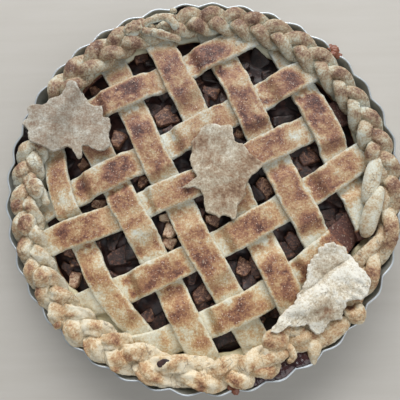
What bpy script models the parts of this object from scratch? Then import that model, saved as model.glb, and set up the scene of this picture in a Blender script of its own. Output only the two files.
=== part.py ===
"""Lattice apple pie with a plaited edge and three maple leaves, in its own fluted tart tin.

Metres, +Z up. The origin is the centre of the tin's underside. Seen from above, +X is to the right of the
pie and +Y to its top. Clock angles are in degrees, clockwise from +Y.
"""
import math
import random

import bmesh
import bpy
from mathutils import Euler, Matrix, Vector

MM = 0.001
GAP = 0.35 * MM

TIN_RIM_R = 140 * MM
TIN_BASE_R = 130 * MM
TIN_HEIGHT = 30 * MM
TIN_WALL = 0.8 * MM
TIN_FLUTES = 40
TIN_POINTS_PER_FLUTE = 5
TIN_FLUTE_DEPTH_RIM = 2.8 * MM
TIN_FLUTE_DEPTH_BASE = 2.0 * MM
TIN_FIRST_FLUTE = 4.0

SHELL_THICKNESS = 3.8 * MM
SHELL_TOP = 19.0 * MM
SHELL_LIP_INNER_R = 111.5 * MM
SHELL_LIP_THICKNESS = 3.4 * MM
SHELL_SEGMENTS = 48

LATTICE_END_R = 114.9 * MM
LATTICE_EDGE_Z = 23.6 * MM
LATTICE_CROWN_Z = 30.0 * MM
LATTICE_DOME_POWER = 4
STRIP_THICKNESS = 3.9 * MM
STRIP_ROUNDING = 2.2 * MM
WEAVE_LIFT = STRIP_THICKNESS / 2 + 0.95 * GAP
WEAVE_FLAT = 17 * MM
WEAVE_FLAT_SHARE = 0.4
STRIP_OVERSHOOT = 3 * MM
STRIP_STEP_MIN = 1.2 * MM
TRIM_SIDES = 72

# Each strip's distance from the pie's centre at its start, middle and end, and its width, in millimetres.
# Family A runs down to the right, family S up to the right.
FAMILY_A_HEADING = -63.9
FAMILY_A = [
    (-81, -92, -77, 17.5),
    (-56, -51, -49, 21),
    (-18, -18.5, -14.5, 21),
    (20.5, 21, 20.5, 21),
    (58, 56, 56, 21),
    (101, 98, 90.5, 21),
]
FAMILY_S_HEADING = 26.6
FAMILY_S = [
    (93, 86.5, 87, 20.5),
    (39, 38, 41, 20.5),
    (12, 5, 4, 20.5),
    (-38, -40.5, -34, 20.5),
    (-79.5, -86, -69, 20.5),
]
FAMILY_REACH = 90 * MM

FILLING_DEPTH = 5.4 * MM
FILLING_EDGE_Z = 18.4 * MM
FILLING_RINGS = [radius * MM for radius in (0, 35, 60, 80, 95, 104)]
APPLE_SIZE = (7.6 * MM, 5.6 * MM, 8.4 * MM)
APPLE_PITCH = 12 * MM
APPLE_REACH = 100 * MM
APPLE_CORNER_SHIFT = 0.6 * MM
APPLE_LEAN = 0.2
APPLE_SEED = 12

PLAIT_R = 125.3 * MM
PLAIT_Z = 29.0 * MM
PLAIT_SWAY = 6.8 * MM
PLAIT_LIFT = 4.2 * MM
STRAND_HALF_WIDTH = 3.4 * MM
STRAND_HALF_HEIGHT = 2.25 * MM
STRAND_SQUEEZE = 0.15
STRAND_SIDES = 7
STRAND_STEPS_PER_TWIST = 8
TWISTS_PER_TURN = 15.44
TWIST_AT_TOP = 34.6
CALM_SHARE = 0.92
# Start, end, and the calm stretch where the three strands run side by side, as clock angles. A calm
# stretch starts just before the strands lie level with each other.
PLAIT_A = {"start": -50.0, "end": 149.0, "calm": (90.0, 116.0)}
PLAIT_B = {"start": 156.0, "end": 292.0, "calm": (183.3, 208.3)}
PLAIT_TAPER = 7.0
PLAIT_TIP_SHARE = 0.45
KNOB_HALF_SIZE = (7.6 * MM, 6.8 * MM, 4.2 * MM)
KNOB_PLACE = (49.0 * MM, -100.5 * MM, 32.6 * MM)

LEAF_THICKNESS = 2.4 * MM
LEAF_WAVE = 0.5 * MM
# One side of the leaf cutter, from the tip to the stem, in millimetres from the leaf's middle.
LEAF_HALF_OUTLINE = [
    (3.0, 28.5), (6.8, 20.5), (11.5, 15.5), (17.5, 14.0), (27.5, 13.0), (26.8, 4.5), (32.5, -2.0),
    (28.8, -8.0), (29.8, -15.0), (23.5, -20.5), (16.5, -18.0), (10.5, -21.0), (3.6, -17.5), (2.8, -26.0),
]
LEAF_TIP = (0.0, 31.0)
LEAF_STEM_END = (0.0, -28.0)
# Place of the leaf's middle in millimetres, and the way its tip points.
LEAVES = [(-93.5, 48.0, -4.0), (17.5, 11.0, 74.0), (84.5, -67.0, 123.0)]


def collection(name):
    made = bpy.data.collections.new(name)
    bpy.context.scene.collection.children.link(made)
    return made


def material(name, colour, roughness, metallic=0.0):
    made = bpy.data.materials.new(name)
    made.use_nodes = True
    shader = made.node_tree.nodes["Principled BSDF"]
    shader.inputs["Base Color"].default_value = (*colour, 1.0)
    shader.inputs["Roughness"].default_value = roughness
    shader.inputs["Metallic"].default_value = metallic
    return made


def add_object(name, bm, finish, target):
    mesh = bpy.data.meshes.new(name)
    bm.to_mesh(mesh)
    bm.free()
    mesh.materials.append(finish)
    obj = bpy.data.objects.new(name, mesh)
    target.objects.link(obj)
    return obj


def round_off(obj, angle=50):
    obj.data.shade_smooth()
    obj.data.set_sharp_from_angle(angle=math.radians(angle))


def at_clock(degrees, radius, z=0.0):
    turn = math.radians(degrees)
    return Vector((radius * math.sin(turn), radius * math.cos(turn), z))


def smooth(t):
    t = min(max(t, 0.0), 1.0)
    return t * t * (3 - 2 * t)


def lattice_height(x, y):
    """Height of the middle of the woven lattice, a low dome."""
    share = min(math.hypot(x, y) / LATTICE_END_R, 1.0)
    return LATTICE_EDGE_Z + (LATTICE_CROWN_Z - LATTICE_EDGE_Z) * (1 - share ** LATTICE_DOME_POWER)


def loft(sections):
    """A closed body through rings of equally many points."""
    bm = bmesh.new()
    rings = [[bm.verts.new(point) for point in section] for section in sections]
    for ring, following in zip(rings, rings[1:]):
        for k, vert in enumerate(ring):
            after = (k + 1) % len(ring)
            bm.faces.new((vert, ring[after], following[after], following[k]))
    bm.faces.new(reversed(rings[0]))
    bm.faces.new(rings[-1])
    bmesh.ops.recalc_face_normals(bm, faces=bm.faces)
    return bm


def turned(name, profile, segments, finish, target):
    """A turned body from its profile of (radius, z), which runs down the outer side."""
    bm = bmesh.new()
    verts = [bm.verts.new((radius, 0, z)) for radius, z in profile]
    for vert, following in zip(verts, verts[1:]):
        bm.edges.new((vert, following))
    obj = add_object(name, bm, finish, target)
    screw = obj.modifiers.new("Turn", "SCREW")
    screw.steps = segments
    screw.render_steps = segments
    screw.use_merge_vertices = True
    screw.merge_threshold = 0.00005
    return obj


def flute_radius(mean_radius, depth, degrees):
    """A fluted wall's radius: round ribs outside, with the largest radius at the rib's crest."""
    turn = math.radians(TIN_FLUTES * (degrees - TIN_FIRST_FLUTE))
    return mean_radius - depth / 2 + depth / 2 * math.cos(turn)


def build_tin(target):
    finish = material("tinned_steel", (0.33, 0.34, 0.33), 0.35, 1.0)
    count = TIN_FLUTES * TIN_POINTS_PER_FLUTE
    bm = bmesh.new()
    base = bmesh.ops.create_circle(bm, cap_ends=True, segments=count, radius=TIN_BASE_R)["verts"]
    bm.edges.ensure_lookup_table()
    wall = bmesh.ops.extrude_edge_only(bm, edges=list(bm.edges))["geom"]
    rim = [item for item in wall if isinstance(item, bmesh.types.BMVert)]
    rings = ((base, TIN_BASE_R, TIN_FLUTE_DEPTH_BASE, 0.0), (rim, TIN_RIM_R, TIN_FLUTE_DEPTH_RIM, TIN_HEIGHT))
    for verts, radius, depth, z in rings:
        for vert in verts:
            degrees = math.degrees(math.atan2(vert.co.x, vert.co.y))
            vert.co = at_clock(degrees, flute_radius(radius, depth, degrees), z)
    bmesh.ops.recalc_face_normals(bm, faces=bm.faces)
    floor = max(bm.faces, key=lambda face: len(face.verts))
    if floor.normal.z > 0:
        bmesh.ops.reverse_faces(bm, faces=bm.faces)
    obj = add_object("tin", bm, finish, target)
    solid = obj.modifiers.new("Sheet", "SOLIDIFY")
    solid.thickness = TIN_WALL
    solid.offset = -1
    solid.use_even_offset = True
    round_off(obj, 60)


def shell_radius(z):
    """The pastry's outer radius at height z, just inside the valleys of the tin's flutes."""
    share = z / TIN_HEIGHT
    wall = TIN_BASE_R + (TIN_RIM_R - TIN_BASE_R) * share
    depth = TIN_FLUTE_DEPTH_BASE + (TIN_FLUTE_DEPTH_RIM - TIN_FLUTE_DEPTH_BASE) * share
    return wall - depth - 1.2 * TIN_WALL - 1.6 * GAP


def build_shell(target):
    finish = material("shell_pastry", (0.62, 0.50, 0.33), 0.7)
    bottom = TIN_WALL + GAP
    floor = bottom + SHELL_THICKNESS
    lip_under = SHELL_TOP - SHELL_LIP_THICKNESS
    profile = [
        (0.0, floor),
        (shell_radius(floor) - SHELL_THICKNESS, floor),
        (shell_radius(lip_under) - SHELL_THICKNESS, lip_under),
        (SHELL_LIP_INNER_R + 1.2 * MM, lip_under),
        (SHELL_LIP_INNER_R, SHELL_TOP - SHELL_LIP_THICKNESS / 2),
        (SHELL_LIP_INNER_R + 1.2 * MM, SHELL_TOP),
        (shell_radius(SHELL_TOP) - 1.0 * MM, SHELL_TOP),
        (shell_radius(SHELL_TOP), SHELL_TOP - 1.5 * MM),
        (shell_radius(bottom), bottom),
        (0.0, bottom),
    ]
    round_off(turned("pastry_shell", profile, SHELL_SEGMENTS, finish, target))


def apple_piece(draw, place, target):
    """A rough block of apple that leans at random."""
    bm = bmesh.new()
    bmesh.ops.create_cube(bm, size=1.0)
    for vert in bm.verts:
        vert.co = Vector([vert.co[k] * APPLE_SIZE[k] for k in range(3)])
        vert.co += Vector([draw.uniform(-1, 1) * APPLE_CORNER_SHIFT for _ in range(3)])
    tip_x, tip_y = draw.uniform(-APPLE_LEAN, APPLE_LEAN), draw.uniform(-APPLE_LEAN, APPLE_LEAN)
    lean = Euler((tip_x, tip_y, draw.uniform(0, math.pi)))
    bm.transform(Matrix.Translation(place) @ lean.to_matrix().to_4x4())
    mesh = bpy.data.meshes.new("apple")
    bm.to_mesh(mesh)
    bm.free()
    target.objects.link(bpy.data.objects.new("apple", mesh))


def build_filling(target):
    finish = material("apple_filling", (0.10, 0.035, 0.03), 0.25)
    floor = TIN_WALL + SHELL_THICKNESS + 2 * GAP
    lip_under = SHELL_TOP - SHELL_LIP_THICKNESS - GAP
    top = [(radius, lattice_height(radius, 0) - FILLING_DEPTH) for radius in FILLING_RINGS]
    edge = SHELL_LIP_INNER_R - GAP
    profile = top + [
        (edge, FILLING_EDGE_Z),
        (edge, lip_under),
        (shell_radius(lip_under) - SHELL_THICKNESS - GAP * 1.5, lip_under),
        (shell_radius(floor) - SHELL_THICKNESS - GAP * 1.5, floor),
        (0.0, floor),
    ]
    core = turned("filling", profile, SHELL_SEGMENTS, finish, target)
    pieces = collection("apple_pieces")
    draw = random.Random(APPLE_SEED)
    for place in apple_places():
        apple_piece(draw, place, pieces)
    union = core.modifiers.new("Apples", "BOOLEAN")
    union.operation = "UNION"
    union.operand_type = "COLLECTION"
    union.collection = pieces
    union.solver = "EXACT"
    keep_evaluated(core)
    for piece in list(pieces.objects):
        bpy.data.objects.remove(piece)
    bpy.data.collections.remove(pieces)
    round_off(core, 35)


def keep_evaluated(obj):
    """Applies every modifier of an object."""
    bpy.context.view_layer.update()
    mesh = bpy.data.meshes.new_from_object(obj.evaluated_get(bpy.context.evaluated_depsgraph_get()))
    obj.modifiers.clear()
    obj.data = mesh


class Strip:
    """One lattice strip: its line across the pie, and whether it passes over or under each strip it meets."""

    def __init__(self, name, heading, start, middle, end, width):
        turn = math.radians(heading)
        self.name = name
        self.along = Vector((math.cos(turn), math.sin(turn)))
        self.across = Vector((-math.sin(turn), math.cos(turn)))
        self.middle = middle * MM
        self.slope = (end - start) / 2 * MM
        self.bow = ((end + start) / 2 - middle) * MM
        self.width = width * MM
        self.meets = []

    def place(self, s, v=0.0):
        """The point at distance s along the family's heading, v to the left of the strip's own middle."""
        share = s / FAMILY_REACH
        offset = self.middle + self.slope * share + self.bow * share * share
        lean = (self.slope + 2 * self.bow * share) / FAMILY_REACH
        side = (self.across - lean * self.along).normalized()
        return self.along * s + self.across * offset + side * v

    def ends(self, v=0.0):
        """Where the line that lies v from the middle leaves the lattice's circle."""
        found = []
        for way in (-1, 1):
            near, far = 0.0, 1.4 * LATTICE_END_R
            for _ in range(30):
                half = (near + far) / 2
                inside = self.place(way * half, v).length < LATTICE_END_R
                near, far = (half, far) if inside else (near, half)
            found.append(way * near)
        return found

    def lift(self, s):
        """Rise above the lattice's mean height: up over some strips and down under others."""
        before = [meet for meet in self.meets if meet[0] <= s]
        after = [meet for meet in self.meets if meet[0] > s]
        if not before:
            return after[0][1] * WEAVE_LIFT
        if not after:
            return before[-1][1] * WEAVE_LIFT
        (from_s, from_sign), (to_s, to_sign) = before[-1], after[0]
        flat = weave_flat(to_s - from_s)
        share = smooth((s - from_s - flat) / (to_s - from_s - 2 * flat))
        return WEAVE_LIFT * (from_sign + (to_sign - from_sign) * share)


def weave_flat(spacing):
    """How far a strip stays level to each side of a crossing, before it climbs or dips to the next."""
    return min(WEAVE_FLAT, WEAVE_FLAT_SHARE * spacing)


def crossing(strip, other):
    """Distances along two strips at the point where their middles meet."""
    s = t = 0.0
    for _ in range(20):
        t = strip.place(s).dot(other.along)
        s = other.place(t).dot(strip.along)
    return s, t


def make_strips():
    """Both families of strips with their woven crossings: an A strip is on top where i + j is odd."""
    family_a = [Strip(f"strip_a_{k}", FAMILY_A_HEADING, *row) for k, row in enumerate(FAMILY_A, 1)]
    family_s = [Strip(f"strip_s_{k}", FAMILY_S_HEADING, *row) for k, row in enumerate(FAMILY_S, 1)]
    for i, strip in enumerate(family_a, 1):
        for j, other in enumerate(family_s, 1):
            s, t = crossing(strip, other)
            if strip.place(s).length > LATTICE_END_R + 0.6 * strip.width:
                continue
            sign = 1 if (i + j) % 2 else -1
            strip.meets.append((s, sign))
            other.meets.append((t, -sign))
    for strip in family_a + family_s:
        strip.meets.sort()
    return family_a, family_s


def strip_stations(strip):
    """Distances along a strip where its sections stand: at crossings, and where it starts to climb or dip."""
    half = strip.width / 2
    starts, ends = zip(*(strip.ends(v) for v in (-half, 0.0, half)))
    first, last = min(starts) - STRIP_OVERSHOOT, max(ends) + STRIP_OVERSHOOT
    stations = [first, last] + [s for s, _ in strip.meets]
    for (from_s, _), (to_s, _) in zip(strip.meets, strip.meets[1:]):
        flat = weave_flat(to_s - from_s)
        stations += [from_s + flat, (from_s + to_s) / 2, to_s - flat]
    inside = sorted(s for s in stations if first <= s <= last)
    return [s for s, following in zip(inside, inside[1:] + [math.inf]) if following - s > STRIP_STEP_MIN]


def strip_section(strip, s):
    """A flat ring with rounded edges, across the strip."""
    half, thick = strip.width / 2, STRIP_THICKNESS / 2
    inner = half - STRIP_ROUNDING
    ring = []
    corners = [(-half, 0), (-inner, -thick), (inner, -thick), (half, 0), (inner, thick), (-inner, thick)]
    for v, rise in corners:
        point = strip.place(s, v)
        ring.append((point.x, point.y, lattice_height(point.x, point.y) + strip.lift(s) + rise))
    return ring


def build_trim():
    """The round cutter that ends every strip just inside the plait."""
    bm = bmesh.new()
    bmesh.ops.create_cone(bm, cap_ends=True, segments=TRIM_SIDES, radius1=LATTICE_END_R,
                          radius2=LATTICE_END_R, depth=2 * LATTICE_CROWN_Z)
    mesh = bpy.data.meshes.new("lattice_trim")
    bm.to_mesh(mesh)
    bm.free()
    trim = bpy.data.objects.new("lattice_trim", mesh)
    trim.location.z = LATTICE_CROWN_Z
    trim.hide_render = True
    trim.display_type = "WIRE"
    collection("cutters").objects.link(trim)
    return trim


def build_strips(target):
    finish = material("lattice_pastry", (0.66, 0.42, 0.20), 0.6)
    trim = build_trim()
    family_a, family_s = make_strips()
    for strip in family_a + family_s:
        sections = [strip_section(strip, s) for s in strip_stations(strip)]
        obj = add_object(strip.name, loft(sections), finish, target)
        cut = obj.modifiers.new("Round edge", "BOOLEAN")
        cut.operation = "INTERSECT"
        cut.solver = "EXACT"
        cut.object = trim
        round_off(obj, 40)


def apple_places():
    """Places for the apple blocks, in the open cells between the strips."""
    family_a, family_s = make_strips()
    places = []
    for left, right in zip(family_a, family_a[1:]):
        for top, bottom in zip(family_s, family_s[1:]):
            above = [strip.place(crossing(strip, top)[0]) for strip in (left, right)]
            below = [strip.place(crossing(strip, bottom)[0]) for strip in (left, right)]
            middle = sum(above + below, Vector((0, 0))) / 4
            run = (sum(below, Vector((0, 0))) - sum(above, Vector((0, 0)))) / 2
            count = max(1, int((run.length - top.width) / APPLE_PITCH + 0.5))
            for k in range(count):
                point = middle + run.normalized() * APPLE_PITCH * (k - (count - 1) / 2)
                if point.length < APPLE_REACH:
                    z = lattice_height(point.x, point.y) - FILLING_DEPTH
                    places.append(Vector((point.x, point.y, z)))
    return places


def plait_phase(plait, degrees):
    """How far the plait has turned at a clock angle. It hardly turns along its calm stretch."""
    start, end = plait["calm"]
    held = min(max(degrees, start), end) - start
    return math.radians(TWIST_AT_TOP + TWISTS_PER_TURN * (degrees - CALM_SHARE * held))


def strand_section(plait, strand, degrees, fat=1.0):
    """An oval ring of one strand, in the upright plane through the pie's axis."""
    phase = plait_phase(plait, degrees) + strand * math.tau / 3
    radius = PLAIT_R + PLAIT_SWAY * math.sin(phase)
    z = PLAIT_Z + PLAIT_LIFT * math.sin(2 * phase)
    half_width = STRAND_HALF_WIDTH * (1 - STRAND_SQUEEZE * math.cos(phase) ** 2)
    ring = []
    for k in range(STRAND_SIDES):
        turn = math.tau * k / STRAND_SIDES
        out = fat * half_width * math.cos(turn)
        up = fat * STRAND_HALF_HEIGHT * math.sin(turn)
        ring.append(at_clock(degrees, radius + out, z + up))
    return ring


def build_plait(name, plait, target, finish):
    step = 360 / TWISTS_PER_TURN / STRAND_STEPS_PER_TWIST
    count = round((plait["end"] - plait["start"]) / step)
    for strand in range(3):
        sections = []
        for k in range(count + 1):
            degrees = plait["start"] + (plait["end"] - plait["start"]) * k / count
            to_end = min(degrees - plait["start"], plait["end"] - degrees)
            fat = PLAIT_TIP_SHARE + (1 - PLAIT_TIP_SHARE) * smooth(to_end / PLAIT_TAPER)
            sections.append(strand_section(plait, strand, degrees, fat))
        round_off(add_object(f"{name}_strand_{strand + 1}", loft(sections), finish, target), 60)


def build_knob(target, finish):
    """The rolled-up end of the second plait, a flattened ball of dough beside its start."""
    bm = bmesh.new()
    bmesh.ops.create_uvsphere(bm, u_segments=12, v_segments=7, radius=1.0)
    bm.transform(Matrix.Translation(KNOB_PLACE) @ Matrix.Diagonal((*KNOB_HALF_SIZE, 1.0)))
    round_off(add_object("plait_b_knob", bm, finish, target))


def resting_height(x, y):
    """Height of what a leaf lies on: the lattice's crests, and the plait round it."""
    radius = math.hypot(x, y)
    crests = lattice_height(x, y) + WEAVE_LIFT + STRIP_THICKNESS / 2
    plait_top = PLAIT_Z + PLAIT_LIFT + STRAND_HALF_HEIGHT
    onto = smooth((radius - 103 * MM) / (13 * MM))
    off = smooth((radius - 133 * MM) / (20 * MM))
    return crests + (plait_top - crests) * onto - 3.0 * MM * off


def leaf_outline():
    right = [Vector(point) for point in LEAF_HALF_OUTLINE]
    left = [Vector((-point.x, point.y)) for point in reversed(right)]
    return [Vector(LEAF_TIP)] + right + [Vector(LEAF_STEM_END)] + left


def build_leaf(number, place, target, finish):
    x, y, heading = place
    turn = Matrix.Rotation(-math.radians(heading), 2)
    middle = Vector((x, y))
    bm = bmesh.new()
    rings = []
    for share in (1.0, 0.6, 0.3):
        points = [(middle + turn @ (point * share)) * MM for point in leaf_outline()]
        rings.append([bm.verts.new((point.x, point.y, 0)) for point in points])
    centre = bm.verts.new((x * MM, y * MM, 0))
    for ring, inner in zip(rings, rings[1:]):
        for k, vert in enumerate(ring):
            after = (k + 1) % len(ring)
            bm.faces.new((vert, inner[after], ring[after]))
            bm.faces.new((vert, inner[k], inner[after]))
    for k, vert in enumerate(rings[-1]):
        bm.faces.new((vert, centre, rings[-1][(k + 1) % len(rings[-1])]))
    for vert in bm.verts:
        wave = LEAF_WAVE * (1 + math.sin(vert.co.x / (6 * MM) + number) * math.sin(vert.co.y / (7 * MM)))
        vert.co.z = resting_height(vert.co.x, vert.co.y) + GAP + wave
    obj = add_object(f"leaf_{number}", bm, finish, target)
    solid = obj.modifiers.new("Dough", "SOLIDIFY")
    solid.thickness = LEAF_THICKNESS
    solid.offset = 1
    round_off(obj, 50)


def main():
    for obj in list(bpy.data.objects):
        bpy.data.objects.remove(obj)
    pie = collection("lattice_apple_pie")
    build_tin(pie)
    build_shell(pie)
    build_filling(pie)
    build_strips(pie)
    plait_finish = material("plait_pastry", (0.64, 0.46, 0.26), 0.65)
    build_plait("plait_a", PLAIT_A, pie, plait_finish)
    build_plait("plait_b", PLAIT_B, pie, plait_finish)
    build_knob(pie, plait_finish)
    leaf_finish = material("leaf_pastry", (0.60, 0.49, 0.34), 0.75)
    for number, place in enumerate(LEAVES, 1):
        build_leaf(number, place, pie, leaf_finish)


main()
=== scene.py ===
"""Looks of the lattice apple pie in its fluted tart tin, on a pale table under soft window light.

Lengths in the tables and shape functions are in millimetres and become metres when a mesh is moulded.
+X is to the right of the pie and +Y to its top. Clock angles are in degrees, clockwise from +Y.
"""

import math
import random

import bpy
import numpy as np
from mathutils import Matrix, Vector, noise
from mathutils.bvhtree import BVHTree


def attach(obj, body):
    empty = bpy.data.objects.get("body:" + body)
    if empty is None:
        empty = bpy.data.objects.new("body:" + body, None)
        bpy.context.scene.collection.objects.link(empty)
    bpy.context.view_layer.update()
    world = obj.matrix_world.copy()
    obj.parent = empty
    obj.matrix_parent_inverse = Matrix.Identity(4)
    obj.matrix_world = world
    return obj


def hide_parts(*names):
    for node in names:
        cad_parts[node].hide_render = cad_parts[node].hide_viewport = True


MM = 0.001

CAMERA_PLACE = Vector((0.01990, -0.05627, 0.36337))
CAMERA_TARGET = Vector((-0.00007, -0.00829, 0.030))
CAMERA_VIEW, SENSOR_WIDTH = 45.0, 36.0
PIE_TOP = Vector((0.0, 0.0, 0.03))

TIN_RIM_R, TIN_BASE_R, TIN_HEIGHT, TIN_WALL = 140.0, 130.0, 30.0, 0.8
TIN_FLUTES, TIN_FIRST_FLUTE = 40, 4.0
TIN_DEPTH_RIM, TIN_DEPTH_BASE = 2.8, 2.0

LATTICE_END_R, LATTICE_EDGE_Z, LATTICE_CROWN_Z = 114.9, 23.6, 30.0
STRIP_THICKNESS, WEAVE_LIFT = 3.9, 2.28
WEAVE_FLAT, WEAVE_FLAT_SHARE = 17.0, 0.4
STRIP_END_R = 123.0
STRIP_CORNER = 1.3
FAMILY_REACH = 90.0
FAMILY_A_HEADING, FAMILY_S_HEADING = -63.9, 26.6
# Each strip's distance from the pie's middle at its start, its middle and its end, and its width.
FAMILY_A = [
    (-81, -92, -77, 17.5), (-56, -51, -49, 21), (-18, -18.5, -14.5, 21),
    (20.5, 21, 20.5, 21), (58, 56, 56, 21), (101, 98, 90.5, 21),
]
FAMILY_S = [
    (93, 86.5, 87, 20.5), (39, 38, 41, 20.5), (12, 5, 4, 20.5),
    (-38, -40.5, -34, 20.5), (-79.5, -86, -69, 20.5),
]

PLAIT_R, PLAIT_Z, PLAIT_LIFT = 125.2, 28.6, 4.0
# Clock angles of the lobes along the plait's outer side. The second plait leans the other way.
PLAIT_A = {"start": -59.0, "end": 148.0, "lean": 1, "first": 1, "lobes": [
    -63.0, -54.0, -45.7, -36.1, -27.6, -19.6, -11.6, -3.7, 3.8, 11.2, 18.1, 25.5, 34.4, 43.3, 52.2, 60.4,
    68.6, 76.2, 83.7, 91.6, 104.5, 119.0, 127.0, 135.0, 143.0, 151.0]}
PLAIT_B = {"start": 153.5, "end": 287.0, "lean": -1, "first": 0, "lobes": [
    153.0, 160.0, 168.0, 177.0, 195.0, 205.0, 212.5, 220.5, 228.0, 235.5, 243.0, 250.5, 258.5, 267.0, 275.0,
    282.0, 290.0]}

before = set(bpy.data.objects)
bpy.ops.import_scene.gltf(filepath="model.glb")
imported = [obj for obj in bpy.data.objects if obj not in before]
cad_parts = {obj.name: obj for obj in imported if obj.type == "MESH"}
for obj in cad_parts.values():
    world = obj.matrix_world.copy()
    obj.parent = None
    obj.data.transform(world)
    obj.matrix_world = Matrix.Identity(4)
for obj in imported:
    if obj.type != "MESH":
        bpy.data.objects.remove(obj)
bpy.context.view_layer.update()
bpy.ops.object.select_all(action="DESELECT")


def smooth(t):
    t = np.clip(t, 0.0, 1.0)
    return t * t * (3 - 2 * t)


def at_clock(degrees, radius):
    turn = np.radians(degrees)
    return radius * np.sin(turn), radius * np.cos(turn)


def clock(x, y):
    return np.degrees(np.arctan2(x, y)) % 360


def cloud(x, y, z, size, seed=0.0):
    """Soft noise from about -1 to 1, with lumps of that size."""
    points = np.stack(np.broadcast_arrays(x, y, z), axis=-1).reshape(-1, 3) / size + seed
    return 1.6 * np.array([noise.noise(point) for point in points.tolist()])


def clock_gap(degrees, middle):
    """Degrees between two clock angles, the short way round."""
    return np.abs((degrees - middle + 180) % 360 - 180)


def near(x, y, place, radius):
    """1 at a place and falling softly to 0 at that radius."""
    return smooth(1 - np.hypot(x - place[0], y - place[1]) / radius)


# Mesh helpers

def mould(obj, points, bake):
    """Moves every vertex to its point, in millimetres, and keeps how far each is baked."""
    mesh = obj.data
    mesh.vertices.foreach_set("co", (np.asarray(points, dtype=float) * MM).ravel())
    layer = mesh.attributes.get("bake") or mesh.attributes.new("bake", "FLOAT", "POINT")
    layer.data.foreach_set("value", np.broadcast_to(bake, len(mesh.vertices)).astype(np.float32))
    mesh.update()


def vertices(obj):
    co = np.empty(3 * len(obj.data.vertices))
    obj.data.vertices.foreach_get("co", co)
    return co.reshape(-1, 3)


def across_and_up(ahead):
    """Unit vectors across and up from the ways that lead along a piece of dough."""
    ahead = ahead / np.linalg.norm(ahead, axis=-1, keepdims=True)
    side = np.cross(ahead, [0.0, 0.0, 1.0])
    side /= np.linalg.norm(side, axis=-1, keepdims=True)
    return side, np.cross(side, ahead)


def rolled(name, around, along, shape):
    """A sheet of quads rolled into a closed body. shape takes each vertex's turn and run, from 0 to 1."""
    bpy.ops.mesh.primitive_grid_add(x_subdivisions=around, y_subdivisions=along, size=1)
    obj = bpy.context.object
    obj.name = obj.data.name = name
    flat = vertices(obj) + 0.5
    mould(obj, *shape(flat[:, 0], flat[:, 1]))
    bpy.ops.object.mode_set(mode="EDIT")
    bpy.ops.mesh.select_all(action="SELECT")
    bpy.ops.mesh.remove_doubles(threshold=2e-6)
    bpy.ops.mesh.fill_holes(sides=0)
    bpy.ops.mesh.select_all(action="SELECT")
    bpy.ops.mesh.normals_make_consistent(inside=False)
    bpy.ops.object.mode_set(mode="OBJECT")
    bpy.ops.object.shade_smooth()
    return obj


def ball(name, around, rings, shape):
    """A sphere drawn out into a shape, which takes each vertex's turn, 0 to 1, and latitude, -1 to 1."""
    bpy.ops.mesh.primitive_uv_sphere_add(segments=around, ring_count=rings, radius=1)
    obj = bpy.context.object
    obj.name = obj.data.name = name
    co = vertices(obj)
    turn = np.arctan2(co[:, 1], co[:, 0]) / math.tau % 1.0
    mould(obj, *shape(turn, np.arcsin(np.clip(co[:, 2], -1, 1)) * 2 / math.pi))
    bpy.ops.object.shade_smooth()
    return obj


def bevelled_cube(name, offset, segments, cuts=0):
    """A unit cube with worn edges, to be scaled and copied in code."""
    bpy.ops.mesh.primitive_cube_add(size=1)
    obj = bpy.context.object
    obj.name = obj.data.name = name
    bpy.ops.object.mode_set(mode="EDIT")
    bpy.ops.mesh.bevel(offset=offset, segments=segments, affect="EDGES")
    if cuts:
        bpy.ops.mesh.subdivide(number_cuts=cuts, smoothness=0.0)
    bpy.ops.object.mode_set(mode="OBJECT")
    return obj


def roughen(obj, *layers):
    """Makes a surface uneven. Each layer is a lump size and a depth, in millimetres."""
    for size, depth in layers:
        texture = bpy.data.textures.new("lumps", "CLOUDS")
        texture.noise_scale = size * MM
        texture.noise_depth = 2
        push = obj.modifiers.new("Lumps", "DISPLACE")
        push.texture = texture
        push.texture_coords = "LOCAL"
        push.strength = depth * MM
        bpy.ops.object.modifier_apply(modifier=push.name)


def repeat(obj, count):
    """Copies a small mesh many times within itself, to be set out in code."""
    copies = obj.modifiers.new("Copies", "ARRAY")
    copies.count = count
    copies.use_relative_offset = False
    bpy.ops.object.modifier_apply(modifier=copies.name)
    return vertices(obj).reshape(count, -1, 3)


def finish(obj, material, slot, *nodes):
    """Gives a piece its finish and hides the parts of the model that it replaces; slot, which part of the pie
    it is, is not used.
    """
    obj.data.materials.clear()
    obj.data.materials.append(material)
    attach(obj, "root")
    if nodes:
        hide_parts(*nodes)
    obj.select_set(False)
    return obj


# Materials

# What a Mix node needs to blend two colours: its kind, and the output that gives a colour.
COLOURS = {"data_type": "RGBA", "out": 2}


def colour(code):
    """An sRGB hex colour as linear RGBA."""
    parts = [int(code[k:k + 2], 16) / 255 for k in (1, 3, 5)]
    return (*(c / 12.92 if c <= 0.04045 else ((c + 0.055) / 1.055) ** 2.4 for c in parts), 1.0)


def grains(size):
    """The scale of a noise whose grains are about that many millimetres wide."""
    return 1 / (size * MM)


def fill_ramp(ramp, stops):
    """Sets a colour ramp. Each stop is a position, and a hex colour or a grey from 0 to 1."""
    while len(ramp.elements) < len(stops):
        ramp.elements.new(0.5)
    for element, (position, shade) in zip(ramp.elements, stops):
        element.position = position
        element.color = colour(shade) if isinstance(shade, str) else (shade, shade, shade, 1.0)


def feed(tree, node, **parts):
    """Sets a node's settings, its inputs by name, or by number as in_0, and a ramp's stops."""
    for key, value in parts.items():
        if key == "stops":
            fill_ramp(node.color_ramp, value)
            continue
        number = key.removeprefix("in_")
        socket = node.inputs.get(key.replace("_", " ")) if number == key else node.inputs[int(number)]
        if socket is None:
            setattr(node, key, value)
        elif isinstance(value, bpy.types.NodeSocket):
            tree.links.new(value, socket)
        else:
            socket.default_value = colour(value) if isinstance(value, str) else value


def add(tree, kind, out=0, **parts):
    """Adds a node with its settings and links, and gives one of its outputs."""
    node = tree.nodes.new("ShaderNode" + kind)
    feed(tree, node, **parts)
    return node.outputs[out]


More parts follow.
